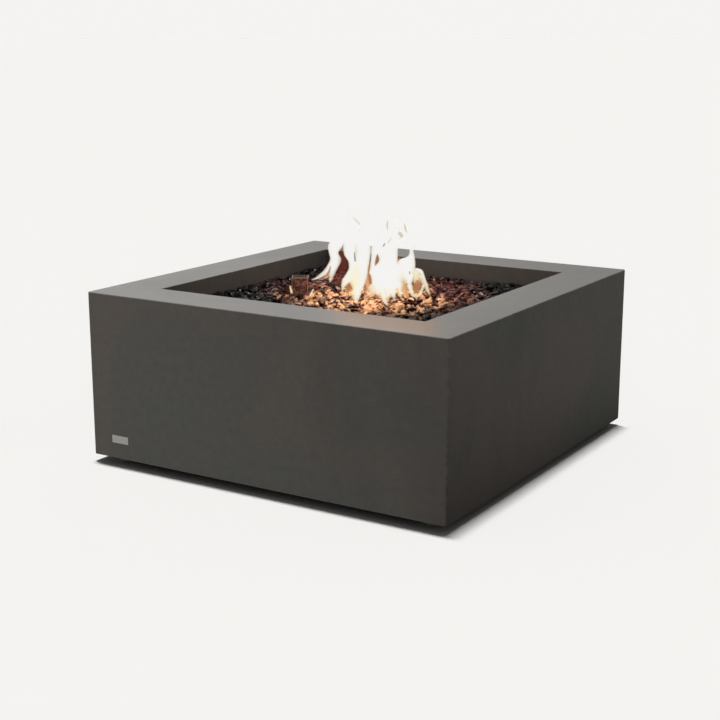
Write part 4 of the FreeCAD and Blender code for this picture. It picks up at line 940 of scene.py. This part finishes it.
# The flames' light: the shape that shiny surfaces mirror, low lamps at the flames' feet, one high lamp
MIRRORED_PLACE = (0.04, 0.02, 0.53)
MIRRORED_SIZE = (0.15, 0.10, 0.10)
MIRRORED_COLOUR = (232, 152, 40)
FLAME_FEET = ((-0.25, 0.12), (-0.09, 0.01), (0.02, -0.09), (-0.01, 0.08), (0.11, -0.08), (0.08, 0.04),
              (0.15, 0.08))
FOOT_LAMP_HEIGHT = 0.43
FOOT_LAMP = {"power": 0.05, "size": 0.03, "colour": (1.0, 0.55, 0.28)}
HIGH_LAMP_PLACE = (0.03, 0.02, 0.60)
HIGH_LAMP = {"power": 1.5, "size": 0.12, "colour": (1.0, 0.93, 0.92)}
LAMP_SHINE = 0.1


def smooth_path(rows):
    """A soft curve through some rows of numbers."""
    rows = [np.array(row, float) for row in rows]
    rows = [2 * rows[0] - rows[1], *rows, 2 * rows[-1] - rows[-2]]
    path = []
    for a, b, c, d in zip(rows, rows[1:], rows[2:], rows[3:]):
        for k in range(PATH_STEPS):
            t = k / PATH_STEPS
            curve = 2 * b + (c - a) * t + (2 * a - 5 * b + 4 * c - d) * t**2 + (3 * b - a - 3 * c + d) * t**3
            path.append(curve / 2)
    return path + [rows[-2]]


def behind_plane(across, height, behind):
    """The place at a depth behind the drawing plane that the camera sees over a place on it."""
    drawn = (RIGHT * across + Vector((0, 0, height))) / 1000
    sight = drawn - CAMERA_PLACE
    return CAMERA_PLACE + sight * (1 + behind / 1000 / sight.dot(AWAY))


def tongue(depths, rows, grown=0.0, deep=None):
    """Corners and faces of a flame: level stars of four points through its rows, so that its edges are
    thin. It can be grown sideways, and can have one half depth all the way up."""
    foot, top = depths
    low, high = rows[0][1], rows[-1][1]
    corners = []
    path = smooth_path(rows)
    for across, height, half in path:
        middle = behind_plane(across, height, foot + (top - foot) * (height - low) / (high - low))
        half = max(half, LEAST_HALF_WIDTH) + grown
        wide = RIGHT * half / 1000
        thick = AWAY * (deep or half * min(1.0, FOOT_SLIMNESS + (height - low) / FOOT_HEIGHT)) / 1000
        for s in range(FLAME_SIDES):
            angle = 2 * math.pi * s / FLAME_SIDES
            c, d = math.cos(angle), math.sin(angle)
            corners.append(middle + wide * c * abs(c) + thick * d * abs(d))
    return corners, tube_faces(len(path), FLAME_SIDES)


def gas(name, densities, glows):
    """Glowing gas that dims what is behind it: a density per metre for each of red, green and blue,
    and the colour that it nears where it is thick."""
    f = Finish(name)
    most = max(densities)
    glow = [density * level / most for density, level in zip(densities, glows)]
    veil = [1 - density / most for density in densities]
    shine = f.node("Emission", sockets={"Color": (*glow, 1.0), "Strength": most})
    dim = f.node("VolumeAbsorption", sockets={"Color": (*veil, 1.0), "Density": most})
    return f.ends(f.node("AddShader", sockets={0: shine, 1: dim}), "Volume")


def gas_body(name, shapes, material):
    """Some tongues run together into one body of gas, seen but casting no light of its own."""
    corners = []
    faces = []
    for more, outlines in shapes:
        start = len(corners)
        corners.extend(more)
        faces.extend([tuple(start + c for c in outline) for outline in outlines])
    body = new_object(name, mesh_from(name, corners, faces))
    body.data.materials.append(material)
    fused = body.modifiers.new("fused", "REMESH")
    fused.mode = "VOXEL"
    fused.voxel_size = GAS_GRAIN
    soft = body.modifiers.new("soft", "SMOOTH")
    soft.iterations = 2
    body.visible_diffuse = False
    body.visible_glossy = False
    body.visible_shadow = False


def tongues(shapes, deep=None):
    return [tongue(*shape, deep=deep) for shape in shapes.values()]


def flames():
    """White tongues with yellow feet, thin sheets of other colours between and before them, some smoke."""
    white = gas("white_flame", (300, 250, 200), (0.905, 0.896, 0.878))
    yellow = gas("yellow_flame", (190, 150, 105), (0.925, 0.88, 0.70))
    orange = gas("orange_flame", (66, 44, 30), (0.88, 0.60, 0.37))
    ember = gas("ember_flame", (220, 190, 160), (0.42, 0.17, 0.065))
    smoke = gas("smoke", (150, 150, 150), (0.17, 0.17, 0.16))
    wisp = gas("flame_wisp", (90, 95, 110), (0.46, 0.40, 0.20))
    red = gas("red_flame", (24, 27, 28), (0.245, 0.038, 0.024))
    low = []
    for depths, rows in WHITE_FLAMES.values():
        foot = [row for row in rows if row[1] < HALO_TOP]
        if len(foot) > 1:
            low.append(tongue(depths, foot, HALO_WIDTH))
    low += tongues(SMALL_FLAMES, SHEET_DEPTH) + tongues(YELLOW_FLAMES)
    gas_body("flame_white", tongues(WHITE_FLAMES), white)
    gas_body("flame_yellow", low, yellow)
    gas_body("flame_orange", tongues(ORANGE_SHEETS, SHEET_DEPTH), orange)
    gas_body("flame_ember", tongues(EMBER_SHEETS, SHEET_DEPTH), ember)
    gas_body("flame_wisps", tongues(WISPS, SHEET_DEPTH), wisp)
    gas_body("smoke", tongues(SMOKE_SHEETS, SHEET_DEPTH), smoke)
    gas_body("flame_red", tongues(RED_SHEETS, 2 * SHEET_DEPTH), red)


def flame_in_mirror():
    """The flames as glossy surfaces show them: one soft orange shape."""
    shape = bmesh.new()
    bmesh.ops.create_icosphere(shape, subdivisions=3, radius=1.0)
    bmesh.ops.scale(shape, vec=MIRRORED_SIZE, verts=shape.verts)
    mesh = bpy.data.meshes.new("flame_in_mirror")
    shape.to_mesh(mesh)
    shape.free()
    glow = new_object("flame_in_mirror", mesh)
    glow.location = MIRRORED_PLACE
    f = Finish("flame_in_mirror")
    shine = f.node("Emission", sockets={"Color": paint(*MIRRORED_COLOUR), "Strength": 1.0})
    mesh.materials.append(f.ends(shine))
    glow.visible_camera = False
    glow.visible_diffuse = False
    glow.visible_shadow = False
    glow.visible_transmission = False


def flame_light(name, place, power, size, colour):
    lamp = bpy.data.lights.new(name, "POINT")
    lamp.color = colour
    lamp.energy = power
    lamp.shadow_soft_size = size
    lamp.specular_factor = LAMP_SHINE
    holder = new_object(name, lamp)
    holder.location = place
    holder.visible_camera = False


# Studio


def studio_floor():
    """A pale floor, with a painted shadow in the light it throws on the foot of the object's right side."""
    sides = FLOOR_SIDES
    angles = [2 * math.pi * s / sides for s in range(sides)]
    corners = [(0.0, 0.0, 0.0)]
    for radius in FLOOR_RINGS:
        corners += [(radius * math.cos(angle), radius * math.sin(angle), 0.0) for angle in angles]
    faces = [(0, 1 + s, 1 + (s + 1) % sides) for s in range(sides)]
    for ring in range(len(FLOOR_RINGS) - 1):
        start = 1 + ring * sides
        for s in range(sides):
            t = (s + 1) % sides
            faces.append((start + s, start + sides + s, start + sides + t, start + t))
    floor = new_object("studio_floor", mesh_from("studio_floor", corners, faces))
    f = Finish("pale_floor")
    x, y, z = f.axes()
    near, far = STRIP_OUT
    # Painted shadow: a dark strip in the floor's light on the object, by its right side.
    painted_shadow_strip = f.between(x, HALF - STRIP_IN, HALF)
    painted_shadow_strip = painted_shadow_strip * f.between(x + STRIP_SLANT * y, HALF + near, HALF + far, 1.0, 0.0)
    shade = f.blend(painted_shadow_strip, paint(*FLOOR_SEEN_BY_OBJECT), paint(*FLOOR_PAINTED_SHADOW))
    tone = f.blend(f.ray("Camera"), shade, paint(*PALE))
    floor.data.materials.append(f.done({"Base Color": tone, "Roughness": 1.0, "Specular IOR Level": 0.0}))


def aim(holder, towards):
    """Turns a camera or a lamp so that its back faces a direction."""
    holder.rotation_mode = "QUATERNION"
    holder.rotation_quaternion = towards.to_track_quat("Z", "Y")


def studio_sun(name, strength, source):
    """An even light from one direction; a strength of pi shows a white surface at 1."""
    data = bpy.data.lights.new(name, "SUN")
    data.energy = strength
    data.angle = KEY_SPREAD
    data.specular_factor = KEY_SHINE
    aim(new_object(name, data), source)


def studio_panel(name, watts, place, lit):
    """A square soft light aimed at the object, which lights nothing but the objects in a collection."""
    data = bpy.data.lights.new(name, "AREA")
    data.energy = watts
    data.size = PANEL_SIZE
    data.specular_factor = PANEL_SHINE
    holder = new_object(name, data)
    holder.location = place
    aim(holder, place - PANEL_AIM)
    holder.visible_camera = False
    holder.visible_glossy = False
    holder.light_linking.receiver_collection = lit


def studio_light():
    """A row of suns overhead, so that shadows are soft to the side and crisp to the front, and soft
    panels to the front left and the right, which light the object alone."""
    for number, lean in enumerate(KEY_LEANS):
        studio_sun(f"key_{number}", KEY_STRENGTH / len(KEY_LEANS), Vector((lean, KEY_FROM_BACK, 1.0)))
    lit = bpy.data.collections.new("lit_by_panels")
    for shown in bpy.context.scene.objects:
        if shown.type == "MESH" and shown.name != "studio_floor":
            lit.objects.link(shown)
    studio_panel("front", FRONT_WATTS, FRONT_PLACE, lit)
    studio_panel("right", RIGHT_WATTS, RIGHT_PLACE, lit)


def studio_surround():
    """A pale surround, at full strength for the camera, weak for plain surfaces, and in shiny ones dimmer
    towards the right."""
    f = Finish("studio", bpy.data.worlds)
    direction = f.node("TexCoord", output="Generated")
    side = f.node("VectorMath", {"operation": "DOT_PRODUCT"}, {0: direction, 1: RIGHT}, "Value")
    mirrored = f.between(side, DIM_FROM, DIM_TO, 1.0, DIM_SIDE)
    seen = f.highest(f.ray("Camera"), f.ray("Transmission"))
    glossy = f.ray("Glossy")
    strength = seen + (1.0 - seen) * (glossy * mirrored + (1.0 - glossy) * FILL)
    light = f.node("Background", sockets={"Color": paint(*PALE), "Strength": strength})
    bpy.context.scene.world = f.ends(light, kind="World")


def photo_camera():
    """The photograph's camera, with no roll and no shift."""
    data = bpy.data.cameras.new("photo_camera")
    data.lens = CAMERA_LENS
    data.sensor_width = SENSOR
    camera = new_object("photo_camera", data)
    camera.location = CAMERA_PLACE
    aim(camera, BACK)
    bpy.context.scene.camera = camera


dress_nodes()
fire_glass_layer()
coil("stem_spring_coil", "stem_spring", "valve_plug", turns=6)
coil("button_spring_coil", "igniter_spring", "table", turns=8)
dial_and_knob_marks()
flames()
flame_in_mirror()
for number, (x, y) in enumerate(FLAME_FEET):
    flame_light(f"flame_light_{number}", (x, y, FOOT_LAMP_HEIGHT), **FOOT_LAMP)
flame_light("flame_light_high", HIGH_LAMP_PLACE, **HIGH_LAMP)
studio_floor()
studio_light()
studio_surround()
photo_camera()
bpy.context.scene.view_settings.view_transform = "Standard"
